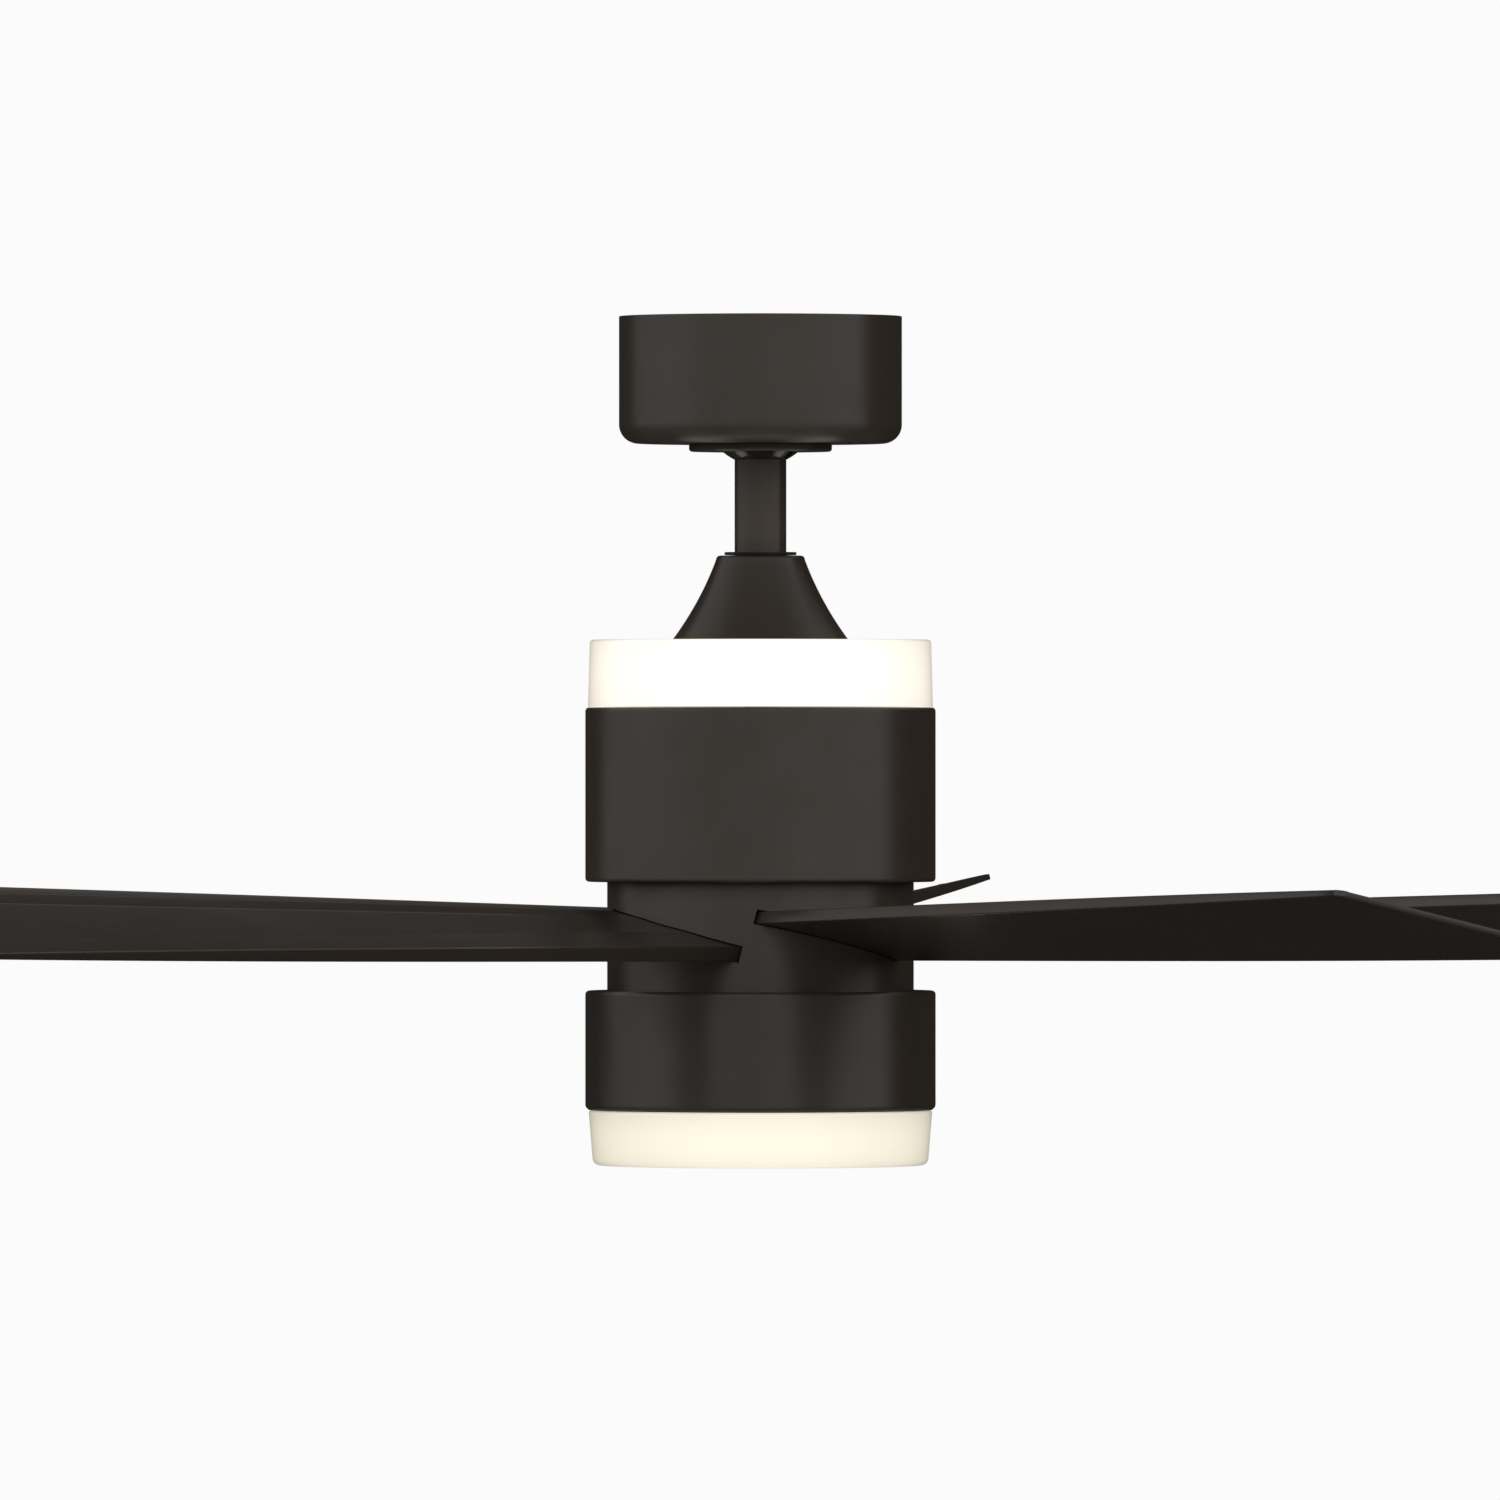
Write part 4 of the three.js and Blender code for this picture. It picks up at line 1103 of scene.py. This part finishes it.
def make_floor():
    """Pale disc, far enough below to leave the fan in sight from underneath."""
    under = FLOOR_Z - FLOOR_THICKNESS
    outline = [(0, under), (FLOOR_REACH, under), (FLOOR_REACH, FLOOR_Z), (0, FLOOR_Z)]
    floor = loose(*turned(outline, ROUND))
    floor.name = "floor"
    pale = finish("pale_floor", (0.80, 0.80, 0.79), 0.7, vary=0.01, grain=60, grain_height=0.0002,
                  Emission_Color=(1, 1, 0.99, 1), Emission_Strength=0.72)
    coat(floor, pale)
    floor.visible_glossy = False
    floor.visible_diffuse = False


def levels(tree, value, lowest, highest, stops):
    """Light level along a value: eased between stops of (value, level)."""
    ramp = tree.nodes.new("ShaderNodeValToRGB")
    ramp.color_ramp.interpolation = "EASE"
    fill(ramp, [((place - lowest) / (highest - lowest), (level, level, level)) for place, level in stops])
    span = tree.nodes.new("ShaderNodeMapRange")
    span.inputs["From Min"].default_value = lowest
    span.inputs["From Max"].default_value = highest
    tree.links.new(value, span.inputs["Value"])
    tree.links.new(span.outputs["Result"], ramp.inputs["Fac"])
    return ramp.outputs["Color"]


def make_studio():
    """Wide soft panels in front and at both sides, dim behind and below, with a pale backdrop."""
    scene = bpy.context.scene
    scene.view_settings.view_transform = "Standard"
    world = bpy.data.worlds.new("studio")
    world.use_nodes = True
    scene.world = world
    tree = world.node_tree
    background = tree.nodes["Background"]
    place = tree.nodes.new("ShaderNodeTexCoord").outputs["Generated"]
    split = tree.nodes.new("ShaderNodeSeparateXYZ")
    tree.links.new(place, split.inputs["Vector"])
    ahead = math_node(tree, "MULTIPLY", split.outputs["Y"], -1)
    azimuth = math_node(tree, "ARCTAN2", split.outputs["X"], ahead)
    panels, behind = [
        levels(tree, azimuth, -math.pi, math.pi, [(math.radians(angle), level) for angle, level in stops])
        for stops in (PANELS, REAR)
    ]
    height, rear_height = [
        levels(tree, split.outputs["Z"], -1, 1, stops) for stops in (PANEL_HEIGHT, REAR_HEIGHT)
    ]
    front_light = math_node(tree, "MULTIPLY", panels, height)
    rear_light = math_node(tree, "MULTIPLY", behind, rear_height)
    light = math_node(tree, "MAXIMUM", front_light, rear_light)
    tree.links.new(light, background.inputs["Strength"])
    background.inputs["Color"].default_value = (*PANEL_COLOUR, 1)
    backdrop = tree.nodes.new("ShaderNodeBackground")
    backdrop.inputs["Color"].default_value = (1, 1, 1, 1)
    backdrop.inputs["Strength"].default_value = BACKDROP
    mix = tree.nodes.new("ShaderNodeMixShader")
    tree.links.new(tree.nodes.new("ShaderNodeLightPath").outputs["Is Camera Ray"], mix.inputs["Fac"])
    for source, socket in zip((background, backdrop), mix.inputs[1:]):
        tree.links.new(source.outputs["Background"], socket)
    tree.links.new(mix.outputs["Shader"], tree.nodes["World Output"].inputs["Surface"])


make_camera()
make_studio()
make_floor()
coat_frame()
make_canopy()
make_trim_ring()
make_bracket()
make_receiver()
make_loom()
make_connectors()
make_ground_screw()
make_liner()
make_cross_pin()
make_ball()
make_rod()
make_seal()
make_bell()
make_uplight()
make_housings()
make_lens_ring()
make_downlight()
make_drum()
make_blades()
